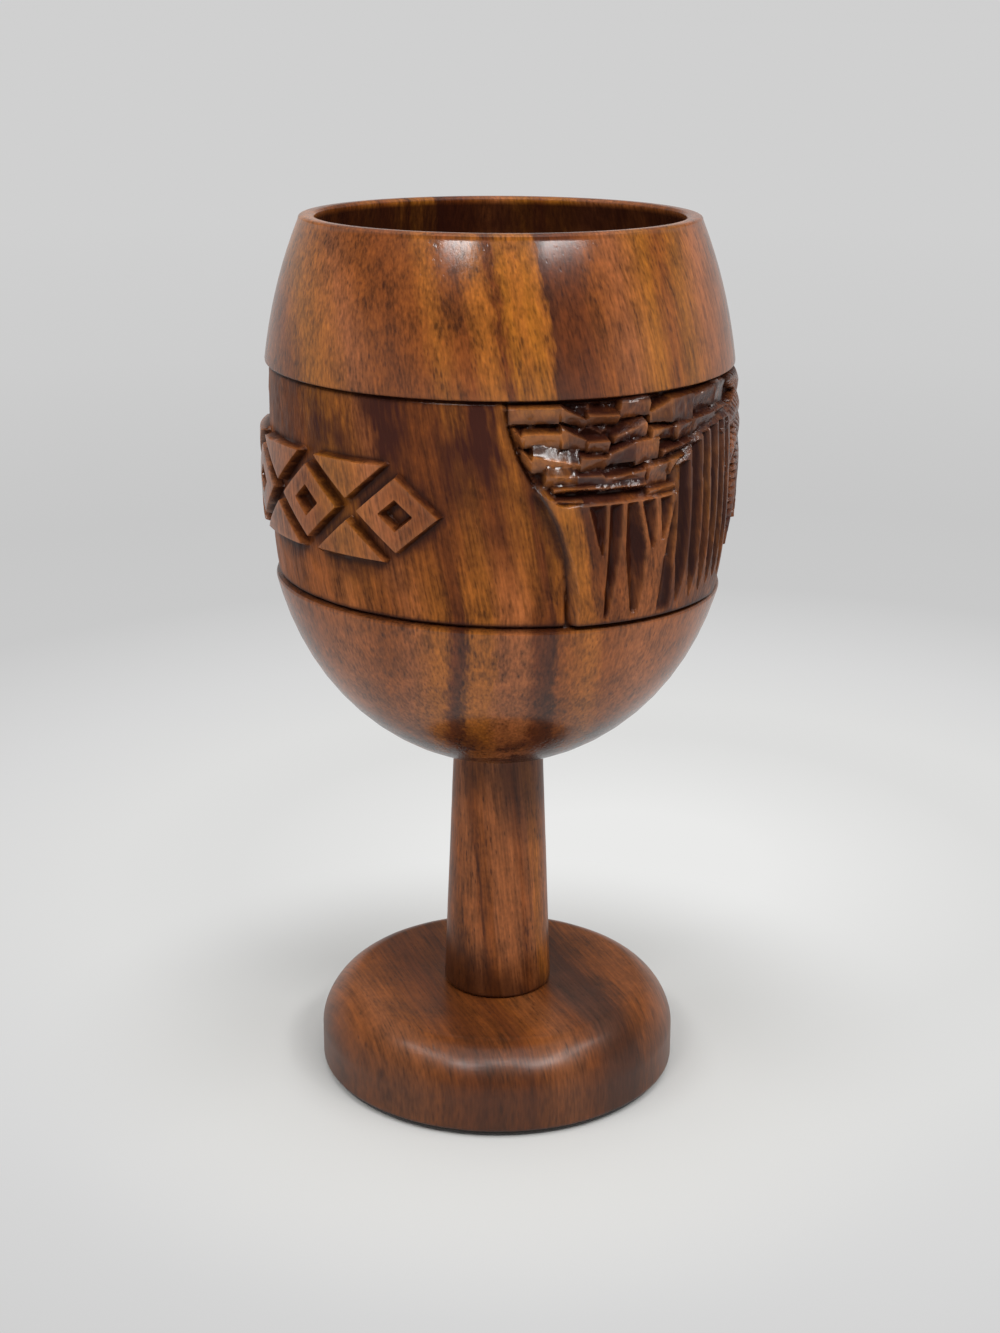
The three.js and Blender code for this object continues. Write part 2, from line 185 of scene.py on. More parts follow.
def colour_ramp(tree, value, stops):
    """Colours between stops of (value, colour), in rising order."""
    low, high = stops[0][0], stops[-1][0]
    share = add(tree, "Math.DIVIDE", add(tree, "Math.SUBTRACT", value, low), high - low)
    ramp = add(tree, "ValToRGB", share)
    elements = ramp.color_ramp.elements
    while len(elements) < len(stops):
        elements.new(0.5)
    for element, (at, colour) in zip(elements, stops):
        element.position = (at - low) / (high - low)
        element.color = linear(TONES.get(colour, colour))
    return ramp


def layers(tree, place, across, bands, shift=0.0):
    """The bands' colours on sheets that are bent and frayed."""
    return colour_ramp(tree, waved(tree, across, place, SHEET_WAVES, shift), bands)


# %% [markdown]
# Between the broad bands the wood has a finer drawing. Streaks half a millimetre wide run along the
# grain, clouds a few millimetres wide cross them where the grain waves, and a fine speckle lies
# over everything. The cut vessels show as short dark dashes: monkeypod is coarse, with vessels of
# 0.2 to 0.3 mm. Cell noise drawn out along the grain gives the dashes, and because it fills the
# block, the same noise gives dots where the end grain shows.

# %% Streaks, vessels and tints
STREAKS = [
    (13, 20, 1, 0.7, 6), (1.5, 26, 3, 1.3, 12), (0.5, 9, 2, 1.7, 18), (6, 5, 2, 1.0, 24),
    (0.6, 1.1, 1, 0.75, 30),
]
DARKEST_STREAK = 0.3
VESSEL = (0.8, 3.4)  # the cell that holds one, in millimetres across and along the grain
VESSEL_CROWDS = (3.5, 16)
VESSEL_REACH = (0.75, -0.16)
VESSEL_EDGE = 6.0
# dark stain colours, also used to paint shade into hollows, gaps, the cup and under the collar
CUT_STAIN_AND_SHADE = "#250F0A"
WASH_STAIN_AND_SHADE = "#39180F"


def streaked(tree, place, colour, shift=0.0):
    level = add(tree, "Math.MAXIMUM", waved(tree, 1.0, place, STREAKS, shift), DARKEST_STREAK)
    return add(tree, "VectorMath.SCALE", colour, level)


def vessels(tree, place, shift=0.0):
    """1 in a cut vessel and 0 beside it."""
    cell = noise(tree, place, *VESSEL, 0.0, shift + 31, "TexVoronoi")
    crowd = noise(tree, place, *VESSEL_CROWDS, 2, shift + 37)
    reach = add(tree, "Math.MULTIPLY_ADD", crowd, *VESSEL_REACH)
    return add(tree, "Math.MULTIPLY", add(tree, "Math.SUBTRACT", reach, cell), VESSEL_EDGE, use_clamp=True)


def tinted(tree, colour, *tints):
    """Lays tints over a colour, each given as where it lies, how strong it is and its colour."""
    for share, strength, tint in tints:
        colour = add(tree, "Mix.RGBA", add(tree, "Math.MULTIPLY", share, strength), colour, tint)
    return colour


# %% [markdown]
# The workshop sands the wood, stains the cuts and sprays a lacquer over it. The lacquer is a clear
# coat: it mirrors the foot softly in the bowl's underside, and it goes pale where the surface turns
# away from the eye. The Principled shader has a coat layer for that. Wood under a coat has hardly
# a shine of its own, so its own specular level is low, and that keeps the colour deep. The vessels,
# which the lacquer doesn't quite fill, are small dents. On the scraped ground of the carving the
# lacquer sinks in, so there the coat is thinner. The stem and the foot were rubbed down more than
# the bowl, so their coat is a little duller.

# %% The lacquer
LACQUER_ROUGHNESS = 0.17
RUBBED_ROUGHNESS = 0.28
WOOD_ROUGHNESS = 0.5
WOOD_SHINE = 0.03
VESSEL_DENT = 0.04 * MM
DENT_STRENGTH = 0.6
RIPPLE = (0.6, 8)


def lacquered(tree, place, colour, dents, coat, coat_roughness, shift=0.0):
    ripple = noise(tree, place, *RIPPLE, 2, shift + 41)
    height = add(tree, "Math.MULTIPLY_ADD", ripple, 0.5, add(tree, "Math.MULTIPLY", dents, -0.5))
    bump = add(tree, "Bump", {"Height": height, "Distance": VESSEL_DENT, "Strength": DENT_STRENGTH})
    wood = {"Base Color": colour, "Roughness": WOOD_ROUGHNESS, "IOR": 1.5, "Specular IOR Level": WOOD_SHINE}
    clear = {"Coat Weight": coat, "Coat Roughness": coat_roughness, "Coat IOR": 1.55}
    shader = add(tree, "BsdfPrincipled", {**wood, **clear, "Normal": bump, "Coat Normal": bump})
    add(tree, "OutputMaterial", shader)


# %% [markdown]
# The bowl's layers lie across the goblet from left to right. In the lower half they stand upright,
# and from the carved band up they lean to the left, about 10 degrees, so the gold streak that
# crosses the front of the collar comes down under the carved trees. Rings are curved, so towards
# the back the sheets bend away. The layers also swell and thin along the trunk, so the upper and
# the lower part of the block each have their own list of bands.
#
# Four values ride on the mesh. The stain value is high in the narrow cuts, where the dark stain
# was left, and it also paints shade into hollows, walls and gaps and along the collar's edge and
# the groove. The wash value is where the ground got a thin coat of stain, and it also paints shade
# beside the raised shapes, under the collar, under the bowl and inside the cup. The worn value is
# on sharp edges, where sanding took the stain off, and it also paints highlights on ridges. The
# lacquer value is where the coat stands thick.

# %% Wood of the bowl
LEAN_START = 118.0
LEAN = 0.185
RING_CURVE = 0.006
CURVE_START = -22.0
UPPER_BANDS = [
    (-58, "brown"), (-46, "tan"), (-38, "tan"), (-33, "brown"), (-28.5, "gold"), (-24, "honey"),
    (-20, "tan"), (-15, "brown"), (-10, "russet"), (-5, "brown"), (-2, "honey"), (1, "brown"),
    (3.4, "russet"), (6.4, "honey"), (8.2, "honey"), (10, "umber"), (12, "gold"), (14, "honey"),
    (16.4, "gold"), (18.2, "honey"), (19.4, "chocolate"), (22, "umber"), (26, "umber"), (29, "brown"),
    (34, "tan"), (39.5, "gold"), (42.4, "brown"), (45.6, "gold"), (50, "tan"), (62, "brown"),
]
LOWER_BANDS = [
    (-58, "tan"), (-40, "brown"), (-30, "tan"), (-22, "brown"), (-17, "tan"), (-12.6, "honey"),
    (-11, "honey"), (-9.2, "umber"), (-7.2, "chocolate"), (-5.6, "honey"), (-2, "honey"), (0.5, "tan"),
    (5, "tan"), (7.4, "umber"), (10.4, "chocolate"), (12.0, "brown"), (17.6, "honey"), (20.5, "brown"),
    (28, "tan"), (36, "brown"), (46, "tan"), (60, "russet"),
]
LOWER_TO_UPPER = (110.0, 140.0)
LOWER_LIGHTER = 1.12
# lighter wood for worn edges, also used to paint highlights on ridges and chips
WORN_AND_HIGHLIGHT_WOOD = "#B27040"
WASH_LINES = (0.8, 9)
WASH_PATCHES = (6, 14)
TORN_GRAIN = (0.5, 1.5)
TORN_DEPTH = 6.0


def carved_wood():
    material, tree = new_material("lacquered monkeypod, carved and stained dark in the cuts")
    x, y, z = object_place(tree)
    above = add(tree, "Math.MAXIMUM", add(tree, "Math.SUBTRACT", z, LEAN_START), 0.0)
    behind = add(tree, "Math.MAXIMUM", add(tree, "Math.SUBTRACT", y, CURVE_START), 0.0)
    curve = add(tree, "Math.MULTIPLY", add(tree, "Math.POWER", behind, 2.0), RING_CURVE)
    across = add(tree, "Math.ADD", add(tree, "Math.MULTIPLY_ADD", above, LEAN, x), curve)
    place = add(tree, "CombineXYZ", across, y, z)
    upper = layers(tree, place, across, UPPER_BANDS)
    lower = add(tree, "VectorMath.SCALE", layers(tree, place, across, LOWER_BANDS), LOWER_LIGHTER)
    height = add(tree, "MapRange.SMOOTHSTEP", z, *LOWER_TO_UPPER)
    colour = streaked(tree, place, add(tree, "Mix.RGBA", height, lower, upper))
    dents = vessels(tree, place)
    stain, wash, worn, coat = (
        add(tree, "Attribute." + name).outputs["Fac"] for name in ("stain", "wash", "worn", "lacquer")
    )
    lines = add(tree, "MapRange.SMOOTHSTEP", noise(tree, place, *WASH_LINES, 3, 53), 0.25, 0.75)
    patches = add(tree, "MapRange.SMOOTHSTEP", noise(tree, place, *WASH_PATCHES, 3, 57), 0.38, 0.62)
    patchy = add(tree, "Math.MULTIPLY_ADD", patches, 0.5, 0.15)
    uneven = add(tree, "Math.MULTIPLY_ADD", lines, 0.3, patchy)
    # painted shade: the stain and wash values darken cuts, hollows and shaded parts along with the real stain
    colour = tinted(tree, colour, (dents, 0.46, CUT_STAIN_AND_SHADE), (wash, uneven, WASH_STAIN_AND_SHADE))
    colour = tinted(tree, colour, (worn, 0.5, WORN_AND_HIGHLIGHT_WOOD), (stain, 0.93, CUT_STAIN_AND_SHADE))
    torn = noise(tree, place, *TORN_GRAIN, 2, 59)
    torn = add(tree, "Math.MULTIPLY", torn, add(tree, "Math.MULTIPLY", wash, TORN_DEPTH))
    lacquered(tree, place, colour, add(tree, "Math.ADD", dents, torn), coat, LACQUER_ROUGHNESS)
    return material


# %% [markdown]
# The stem was turned from a quieter stick, with its grain along it and leaning only a little. It
# has one long dark fleck down the left of the front and a smoky patch under the bowl, and it grows
# darker towards the corner where it meets the foot, more on the left.

# %% Wood of the stem
STEM_BANDS = [
    (-14, "tan"), (-9, "brown"), (-6, "tan"), (-4.4, "russet"), (-2, "brown"), (-0.5, "tan"),
    (3.2, "tan"), (5, "russet"), (7.2, "tan"), (8.4, "honey"), (11, "tan"), (14, "brown"),
]
STEM_LEAN = 0.1
STEM_MIDDLE = 46.0
STEM_SHIFT = 60
FRONT_HALF = (2.0, -2.0)
FLECK_ACROSS = -3.85
FLECK_HALF_WIDTH = 0.2
FLECK_WANDERS = [(6, 12, 2, 1.4, 71)]
FLECK_START = (30.0, 36.0)
FLECK_END = (58.0, 50.0)
RAGGED_EDGE = (2.5, 9)
RAGGED_BY = 12.0
DARK_LEAN = 0.45
DARK_FOOT_DOWN = (39.0, 28.0)
SMOKE_UP = (54.0, 73.0)
SMOKE_FROM_LEFT = (0.5, 5.0)


def stem_wood():
    material, tree = new_material("lacquered monkeypod, turned with the grain along the stem")
    x, y, z = object_place(tree)
    across = add(tree, "Math.MULTIPLY_ADD", add(tree, "Math.SUBTRACT", z, STEM_MIDDLE), STEM_LEAN, x)
    place = add(tree, "CombineXYZ", across, y, z)
    colour = streaked(tree, place, layers(tree, place, across, STEM_BANDS, STEM_SHIFT), STEM_SHIFT)
    fleck = waved(tree, across, place, FLECK_WANDERS, 0)
    fleck = add(tree, "Math.ABSOLUTE", add(tree, "Math.SUBTRACT", fleck, FLECK_ACROSS))
    fleck = add(tree, "MapRange.SMOOTHSTEP", fleck, FLECK_HALF_WIDTH * 2, FLECK_HALF_WIDTH * 0.4)
    for value, limits in ((y, FRONT_HALF), (z, FLECK_START), (z, FLECK_END)):
        fleck = add(tree, "Math.MULTIPLY", fleck, add(tree, "MapRange.SMOOTHSTEP", value, *limits))
    ragged = add(tree, "Math.MULTIPLY_ADD", noise(tree, place, *RAGGED_EDGE, 3, 77), RAGGED_BY, z)
    low_left = add(tree, "Math.MULTIPLY_ADD", x, DARK_LEAN, ragged)
    dark = add(tree, "MapRange.SMOOTHSTEP", low_left, *DARK_FOOT_DOWN)
    smoke = add(tree, "MapRange.SMOOTHSTEP", across, *SMOKE_FROM_LEFT)
    smoke = add(tree, "Math.MULTIPLY", add(tree, "MapRange.SMOOTHSTEP", ragged, *SMOKE_UP), smoke)
    dents = vessels(tree, place, STEM_SHIFT)
    colour = tinted(tree, colour, (fleck, 0.6, CUT_STAIN_AND_SHADE), (dark, 0.75, "#2E1409"))
    colour = tinted(tree, colour, (smoke, 0.5, "#3E2620"), (dents, 0.6, CUT_STAIN_AND_SHADE))
    lacquered(tree, place, colour, dents, 0.4, RUBBED_ROUGHNESS, STEM_SHIFT)
    return material


# %% [markdown]
# The foot is a darker, plainer piece, sawn from a board that lies flat: its grain runs level, nearly
# from back to front, so the layers cross the top as long soft streaks. The sheets stand upright in
# the board, and the side cuts them too, as short upright streaks. Squeezing the height in the
# pattern's coordinates draws the streaks out that way. Below the shoulder the colour is blended
# towards the dark wash colour, so the side comes out darker than the top.

# %% Wood of the foot
FOOT_BANDS = [
    (-46, "russet"), (-38, "brown"), (-31, "tan"), (-25, "brown"), (-22, "russet"), (-16, "umber"),
    (-11, "russet"), (-7, "umber"), (-4, "brown"), (2, "tan"), (7, "russet"), (11, "smoke"),
    (18, "chocolate"), (23, "brown"), (34, "tan"), (46, "brown"),
]
FOOT_TURN = math.radians(21)
FOOT_SQUEEZE = 0.16
FOOT_SIDE = (19.0, 9.0)
FOOT_SMOKE = 0.22
FOOT_SHIFT = 90


def foot_wood():
    material, tree = new_material("lacquered monkeypod, with the grain level across the foot")
    x, y, z = object_place(tree)
    cosine, sine = math.cos(FOOT_TURN), math.sin(FOOT_TURN)
    across = add(tree, "Math.MULTIPLY_ADD", x, cosine, add(tree, "Math.MULTIPLY", y, sine))
    along = add(tree, "Math.MULTIPLY_ADD", y, cosine, add(tree, "Math.MULTIPLY", x, -sine))
    place = add(tree, "CombineXYZ", across, add(tree, "Math.MULTIPLY", z, FOOT_SQUEEZE), along)
    colour = streaked(tree, place, layers(tree, place, across, FOOT_BANDS, FOOT_SHIFT), FOOT_SHIFT)
    dents = vessels(tree, place, FOOT_SHIFT)
    side = add(tree, "MapRange.SMOOTHSTEP", z, *FOOT_SIDE)
    colour = tinted(tree, colour, (dents, 0.5, CUT_STAIN_AND_SHADE), (side, 0.5, WASH_STAIN_AND_SHADE))
    colour = add(tree, "Mix.RGBA", FOOT_SMOKE, colour, "#45301F")
    lacquered(tree, place, colour, dents, 0.5, RUBBED_ROUGHNESS, FOOT_SHIFT)
    return material


# %% [markdown]
# The pad under the foot is pressed wool felt, nearly black. Felt has no threads, only tangled
# fibres, so fine noise and the shader's sheen are enough. Only its edge shows, as a dark line.

# %% Felt
FIBRE = 0.35  # a tuft, in millimetres: single fibres, a tenth of that, are too fine to show
FELT_PILE = 0.2 * MM


def wool_felt():
    material, tree = new_material("pressed wool felt")
    fibres = noise(tree, add(tree, "CombineXYZ", *object_place(tree)), FIBRE, FIBRE, 4)
    colour = add(tree, "Mix.RGBA", fibres, "#15100E", "#2E2622")
    bump = add(tree, "Bump", {"Height": fibres, "Distance": FELT_PILE, "Strength": 0.8})
    dull = {"Base Color": colour, "Roughness": 0.95, "Sheen Weight": 0.3, "Sheen Roughness": 0.6}
    add(tree, "OutputMaterial", add(tree, "BsdfPrincipled", {**dull, "Normal": bump}))
    return material


# %% [markdown]
# The stem, the foot and the pad are turned, so their shape follows a rule: one outline, taken once
# round the axis. Geometry Nodes fit that well. The tree below takes the outline as a line of
# points, lays a flat grid, and moves each grid point to the outline's radius and height at its
# own angle. Merging close points then closes the seam and the two poles. Hand sanding leaves a
# surface that is never quite round, so each point is also pushed in or out by a few hundredths
# of a millimetre, which keeps the highlights from looking like plastic.

# %% A lathe made of Geometry Nodes
def new_group(name, inputs):
    """A Geometry Nodes tree with named inputs, and the sockets that bring them in."""
    tree = bpy.data.node_groups.new(name, "GeometryNodeTree")
    for label, kind in inputs.items():
        tree.interface.new_socket(label, in_out="INPUT", socket_type="NodeSocket" + kind)
    tree.interface.new_socket("Made", in_out="OUTPUT", socket_type="NodeSocketGeometry")
    return tree, add(tree, "NodeGroupInput").outputs


def finish_group(tree, geometry, material):
    """Ends a tree: copies become real geometry, and all of it gets its material."""
    real = add(tree, "GeometryNodeRealizeInstances", geometry)
    coated = add(tree, "GeometryNodeSetMaterial", {"Geometry": real, "Material": material})
    add(tree, "NodeGroupOutput", coated)


def lathe_tree():
    inputs = {"Outline": "Geometry", "Sides": "Int", "Rows": "Int", "Unevenness": "Float"}
    tree, given = new_group("lathe", {**inputs, "Uneven size": "Float", "Material": "Material"})
    sides, rows = (add(tree, "Math.ADD", given[name], 1.0) for name in ("Sides", "Rows"))
    grid = add(tree, "GeometryNodeMeshGrid", 1.0, 1.0, sides, rows)
    spot = add(tree, "SeparateXYZ", add(tree, "GeometryNodeInputPosition")).outputs
    share = add(tree, "Math.ADD", spot["Y"], 0.5)
    line = add(tree, "GeometryNodeMeshToCurve", given["Outline"])
    outline = add(tree, "GeometryNodeSampleCurve", {"Curves": line, "Factor": share}, mode="FACTOR")
    on_outline = add(tree, "SeparateXYZ", outline.outputs["Position"]).outputs
    angle = add(tree, "Math.MULTIPLY", spot["X"], math.tau)
    reach = add(tree, "CombineXYZ", on_outline["X"])
    turned = add(tree, "VectorRotate", {"Vector": reach, "Angle": angle})
    goal = add(tree, "VectorMath.ADD", turned, add(tree, "CombineXYZ", {"Z": on_outline["Z"]}))
    placed = add(tree, "GeometryNodeSetPosition", {"Geometry": grid, "Position": goal})
    closed = add(tree, "GeometryNodeMergeByDistance", {"Geometry": placed, "Distance": 0.01 * MM})
    scale = add(tree, "Math.DIVIDE", 1.0, given["Uneven size"])
    centred = add(tree, "Math.SUBTRACT", add(tree, "TexNoise", {"Scale": scale, "Detail": 1.0}), 0.5)
    push = add(tree, "Math.MULTIPLY", centred, given["Unevenness"])
    offset = add(tree, "VectorMath.SCALE", add(tree, "GeometryNodeInputNormal"), push)
    sanded = add(tree, "GeometryNodeSetPosition", {"Geometry": closed, "Offset": offset})
    finish_group(tree, add(tree, "GeometryNodeSetShadeSmooth", sanded), given["Material"])
    return tree


def apply_nodes(obj, tree, values):
    """Runs a node tree on an object, and puts the plain mesh that it gives in the object's place."""
    modifier = obj.modifiers.new(tree.name, "NODES")
    modifier.node_group = tree
    for item in tree.interface.items_tree:
        if item.name in values:
            modifier[item.identifier] = values[item.name]
    evaluated = obj.evaluated_get(bpy.context.evaluated_depsgraph_get())
    plain = bpy.data.meshes.new_from_object(evaluated)
    obj.modifiers.remove(modifier)
    obj.data = plain


def mend_and_measure(obj, same_point=0):
    """Joins points that are the same, turns the faces outwards, and prints what the mesh holds."""
    mesh = bmesh.new()
    mesh.from_mesh(obj.data)
    if same_point:
        bmesh.ops.remove_doubles(mesh, verts=mesh.verts, dist=same_point)
        bmesh.ops.dissolve_degenerate(mesh, edges=mesh.edges, dist=same_point)
    if mesh.calc_volume(signed=True) < 0:
        bmesh.ops.reverse_faces(mesh, faces=mesh.faces)
    open_edges = sum(not edge.is_manifold for edge in mesh.edges)
    triangles = sum(len(face.verts) - 2 for face in mesh.faces)
    volume = mesh.calc_volume() / MM**3 / 1000
    mesh.to_mesh(obj.data)
    mesh.free()
    print(f"{obj.name}: {volume:.1f} cm3, {triangles} triangles, {open_edges} open edges")


lathe = lathe_tree()


def turn(name, outline, material, sides, rows, unevenness, uneven_size):
    """A turned piece from its outline of (radius, height) points in millimetres."""
    mesh = bpy.data.meshes.new(name)
    points = [(r * MM, 0, z * MM) for r, z in outline]
    mesh.from_pydata(points, [(i, i + 1) for i in range(len(points) - 1)], [])
    obj = new_object(name, mesh)
    values = {"Sides": sides, "Rows": rows, "Unevenness": unevenness * MM, "Uneven size": uneven_size * MM}
    apply_nodes(obj, lathe, {**values, "Material": material})
    mend_and_measure(obj)
    return obj


def declare(obj, node):
    """The piece moves with the goblet and stands for its construction solid, which is hidden."""
    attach(obj, "root")
    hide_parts(node)


# %% [markdown]
# The foot is a thick disc with an upright side, a long soft shoulder and a very shallow dish on top.
# A quarter of a superellipse gives the shoulder: it leaves the side smoothly and arrives level. The
# blind socket for the stem's tenon is part of the outline, because the piece is a real solid.

# %% The foot
foot_low, foot_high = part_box("foot")
stem_low, stem_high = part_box("stem")
bowl_low, bowl_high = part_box("bowl")
FOOT_BOTTOM = foot_low.z / MM
FOOT_TOP = foot_high.z / MM
FOOT_RADIUS = foot_high.x / MM
FOOT_BOTTOM_ROUND = 0.6
SHOULDER_IN = 8.6
SHOULDER_UP = 10.4
SHOULDER_FULLNESS = 1.7
DISH = 0.6
STEM_FOOT_RADIUS = 12.0
STEM_BOWL_RADIUS = 9.8
GLUE_GAP = 0.3
FOOT_TENON = (8.0, 12.0)
BOWL_TENON = (6.0, 12.0)
SOCKET_END_GAP = 0.5
stem_bottom = FOOT_TOP - DISH


def steps(count):
    return [i / count for i in range(count + 1)]


def quarter(count):
    """Sines and cosines of even steps through a quarter turn."""
    return [(math.sin(t * math.pi / 2), math.cos(t * math.pi / 2)) for t in steps(count)]


def foot_outline():
    power = 2 / SHOULDER_FULLNESS
    start = FOOT_TOP - SHOULDER_UP
    corner = [
        (FOOT_RADIUS - FOOT_BOTTOM_ROUND * (1 - sine), FOOT_BOTTOM + FOOT_BOTTOM_ROUND * (1 - cosine))
        for sine, cosine in quarter(4)
    ]
    shoulder = [
        (FOOT_RADIUS - SHOULDER_IN * (1 - abs(cosine) ** power), start + SHOULDER_UP * sine**power)
        for sine, cosine in quarter(40)
    ]
    inner = FOOT_RADIUS - SHOULDER_IN
    dish = [
        (inner + (STEM_FOOT_RADIUS - inner) * t, FOOT_TOP - DISH * sine**2)
        for t, (sine, _) in zip(steps(16)[1:], quarter(16)[1:])
    ]
    socket = FOOT_TENON[0] + GLUE_GAP
    floor = stem_bottom - FOOT_TENON[1] - SOCKET_END_GAP
    return [(0, FOOT_BOTTOM), *corner, *shoulder, *dish, (socket, stem_bottom), (socket, floor), (0, floor)]


foot = turn("turned_foot", foot_outline(), foot_wood(), sides=192, rows=230, unevenness=0.16, uneven_size=14)
declare(foot, "foot")

# %% [markdown]
# The stem is a straight taper, a little rounded where it stands on the foot, with a tenon at each
# end. It stands in the foot's dish and its upper shoulder meets the flat under the bowl.

# %% The stem
STEM_END_ROUND = 1.2
seat = bowl_low.z / MM


def stem_outline():
    length = seat - stem_bottom

    def taper(z):
        return STEM_FOOT_RADIUS + (STEM_BOWL_RADIUS - STEM_FOOT_RADIUS) * (z - stem_bottom) / length

    end = []
    for sine, cosine in quarter(8):
        z = stem_bottom + STEM_END_ROUND * (1 - cosine)
        end.append((taper(z) - STEM_END_ROUND * (1 - sine), z))
    start = stem_bottom + STEM_END_ROUND
    heights = [start + (length - STEM_END_ROUND) * t for t in steps(30)[1:]]
    low, high = stem_low.z / MM, stem_high.z / MM
    return [
        (0, low), (FOOT_TENON[0], low), (FOOT_TENON[0], stem_bottom), *end, *[(taper(z), z) for z in heights],
        (BOWL_TENON[0], seat), (BOWL_TENON[0], high), (0, high),
    ]


stem = turn("turned_stem", stem_outline(), stem_wood(), sides=128, rows=240, unevenness=0.12, uneven_size=9)
declare(stem, "stem")

# %% [markdown]
# The pad is a thin disc, a little smaller than the foot. Its edge is cut with a knife and its fibres
# stand out, so the same lathe gets a finer unevenness here.

# %% The felt pad
PAD_SETBACK = 1.3
PAD_LIFT = 0.05  # so that the fibres on the underside don't reach below the table
pad_radius = FOOT_RADIUS - PAD_SETBACK
pad_outline = [
    (0, PAD_LIFT), (pad_radius - 0.2, PAD_LIFT), (pad_radius, 0.3), (pad_radius, FOOT_BOTTOM),
    (0, FOOT_BOTTOM),
]
pad = turn("felt_pad_cloth", pad_outline, wool_felt(), sides=180, rows=120, unevenness=0.1, uneven_size=0.8)
declare(pad, "felt_pad")

# %% [markdown]
# The bowl is turned too, but its band is carved, so a lathe alone can't make it. A carver's relief of
# this kind has no undercuts: every point of the band can be reached straight from outside. So
# the surface can be described by one number, how deep it lies under the turned blank at each
# azimuth and height. That is a height field, and a fine grid of points wrapped round the bowl
# holds it well. Booleans on prisms would be the other way. They give knife-sharp walls, but no
# tool marks, hollows or sloping facets, which is what makes carving look carved.
#
# First come the two turned curves, outside and inside. Azimuth is counted in degrees from the front
# towards the right.

# %% The bowl's turned curves
RIM = bowl_high.z / MM
BELLY_RADIUS = 49.8
BELLY = seat + 66.0
RIM_RADIUS = 40.8
RIM_WALL = 3.2
BELLY_WALL = 6.8
SEAT_RADIUS = STEM_BOWL_RADIUS + 0.4
UPPER_FULLNESS = 2.37
LOWER_FULLNESS = 2.45
LOWER_ROUNDNESS = 1.9
socket_end = seat + BOWL_TENON[1] + SOCKET_END_GAP
INNER_FLOOR = socket_end + 5.4


def mix(a, b, t):
    return a + (b - a) * t


def egg(z, belly, rim, end, end_height):
    """Radius at a height, of an egg shape with this radius at the belly, the rim and the lower end."""
    reach = (1 - (end / belly) ** LOWER_ROUNDNESS) ** (1 / LOWER_FULLNESS)
    down = np.clip((BELLY - z) / ((BELLY - end_height) / reach), 0, 1)
    over = np.clip((z - BELLY) / (RIM - BELLY), 0, 1)
    lower = belly * (1 - down**LOWER_FULLNESS) ** (1 / LOWER_ROUNDNESS)
    return np.where(z <= BELLY, lower, belly - (belly - rim) * over**UPPER_FULLNESS)


def blank(z):
    """Radius of the turned blank's outside."""
    return egg(z, BELLY_RADIUS, RIM_RADIUS, SEAT_RADIUS, seat)


def hollow(z):
    """Radius of the cup's inside."""
    return egg(z, BELLY_RADIUS - BELLY_WALL, RIM_RADIUS - RIM_WALL, 0, INNER_FLOOR)


print("belly 2r, mm:", round(float(2 * blank(BELLY)), 1), "rim 2r, mm:", round(float(2 * blank(RIM)), 1))

# %% [markdown]
# The carved band lies between the collar's edge and a scratched groove. Both were cut by hand, so
# they wander: the groove runs about a millimetre lower on the right, and the collar's edge rises a
# little towards the back. The grid follows them, row by row. Its columns are closer together over
# the grove than over the frieze, and widest over the plain stretches between them. Its rows are
# wider apart near the groove, where only tall trunks cross them.

# %% The grid over the carved band
GROOVE_TOP = seat + 41.6
GROOVE_WANDER = 1.1
COLLAR_EDGE = RIM - 30.0
COLLAR_WANDER = 0.6
BAND_ROWS = 111
TRUNK_ROWS = 17
TRUNK_SHARE = 0.27  # of the band's height, where the shapes are tall and need fewer rows
FRIEZE_FROM, FRIEZE_TO = -140.5, -10.5
PANEL_MIDDLE = 104.5
PANEL_FROM = 1.5
PANEL_TO = 2 * PANEL_MIDDLE - PANEL_FROM
PLAIN_COLUMNS, FRIEZE_COLUMNS, PANEL_COLUMNS = 12, 250, 458
BAND_HEIGHT = 44  # roughly, in millimetres, because both edges wander
SPAN = BELLY_RADIUS * math.pi / 180  # millimetres round the belly for one degree


def lower_edge(azimuth):
    return GROOVE_TOP - GROOVE_WANDER * np.sin(np.radians(azimuth + 10))


def upper_edge(azimuth):
    return COLLAR_EDGE + COLLAR_WANDER * (1 - np.cos(np.radians(azimuth)))


stretches = [
    (PANEL_TO - 360, FRIEZE_FROM, PLAIN_COLUMNS),
    (FRIEZE_FROM, FRIEZE_TO, FRIEZE_COLUMNS),
    (FRIEZE_TO, PANEL_FROM, PLAIN_COLUMNS),
    (PANEL_FROM, PANEL_TO, PANEL_COLUMNS),
]
azimuths = np.concatenate([np.linspace(*stretch, endpoint=False) for stretch in stretches])
low_rows = np.linspace(0, TRUNK_SHARE, TRUNK_ROWS, endpoint=False)
rise = np.concatenate([low_rows, np.linspace(TRUNK_SHARE, 1, BAND_ROWS + 1 - TRUNK_ROWS)])[:, None]
az = np.broadcast_to(azimuths, (BAND_ROWS + 1, azimuths.size)).copy()
up = mix(lower_edge(az), upper_edge(az), rise)
CELL = min(SPAN * (PANEL_TO - PANEL_FROM) / PANEL_COLUMNS, BAND_HEIGHT * (rise[-1, 0] - rise[-2, 0]))
print("grid over the band:", up.shape, "finest cell, mm:", round(CELL, 2))

# %% [markdown]
# Each shape of the carving is a flat outline of (azimuth, height) points. One function tells, for the
# grid points near an outline, how far inside it they lie and which point of the outline is nearest.
# A grid point that is less than half a cell from an outline is moved onto it, so that the edge of
# a raised shape runs straight and clean instead of stepping from cell to cell.

# %% Outlines on the grid
def in_box(points, reach):
    """Index and place in mm of the grid points within reach of the box round some points."""
    grid = np.stack([az.ravel() * SPAN, up.ravel()], -1)
    index = np.flatnonzero(((grid > points.min(0) - reach) & (grid < points.max(0) + reach)).all(-1))
    return index, grid[index][:, None]


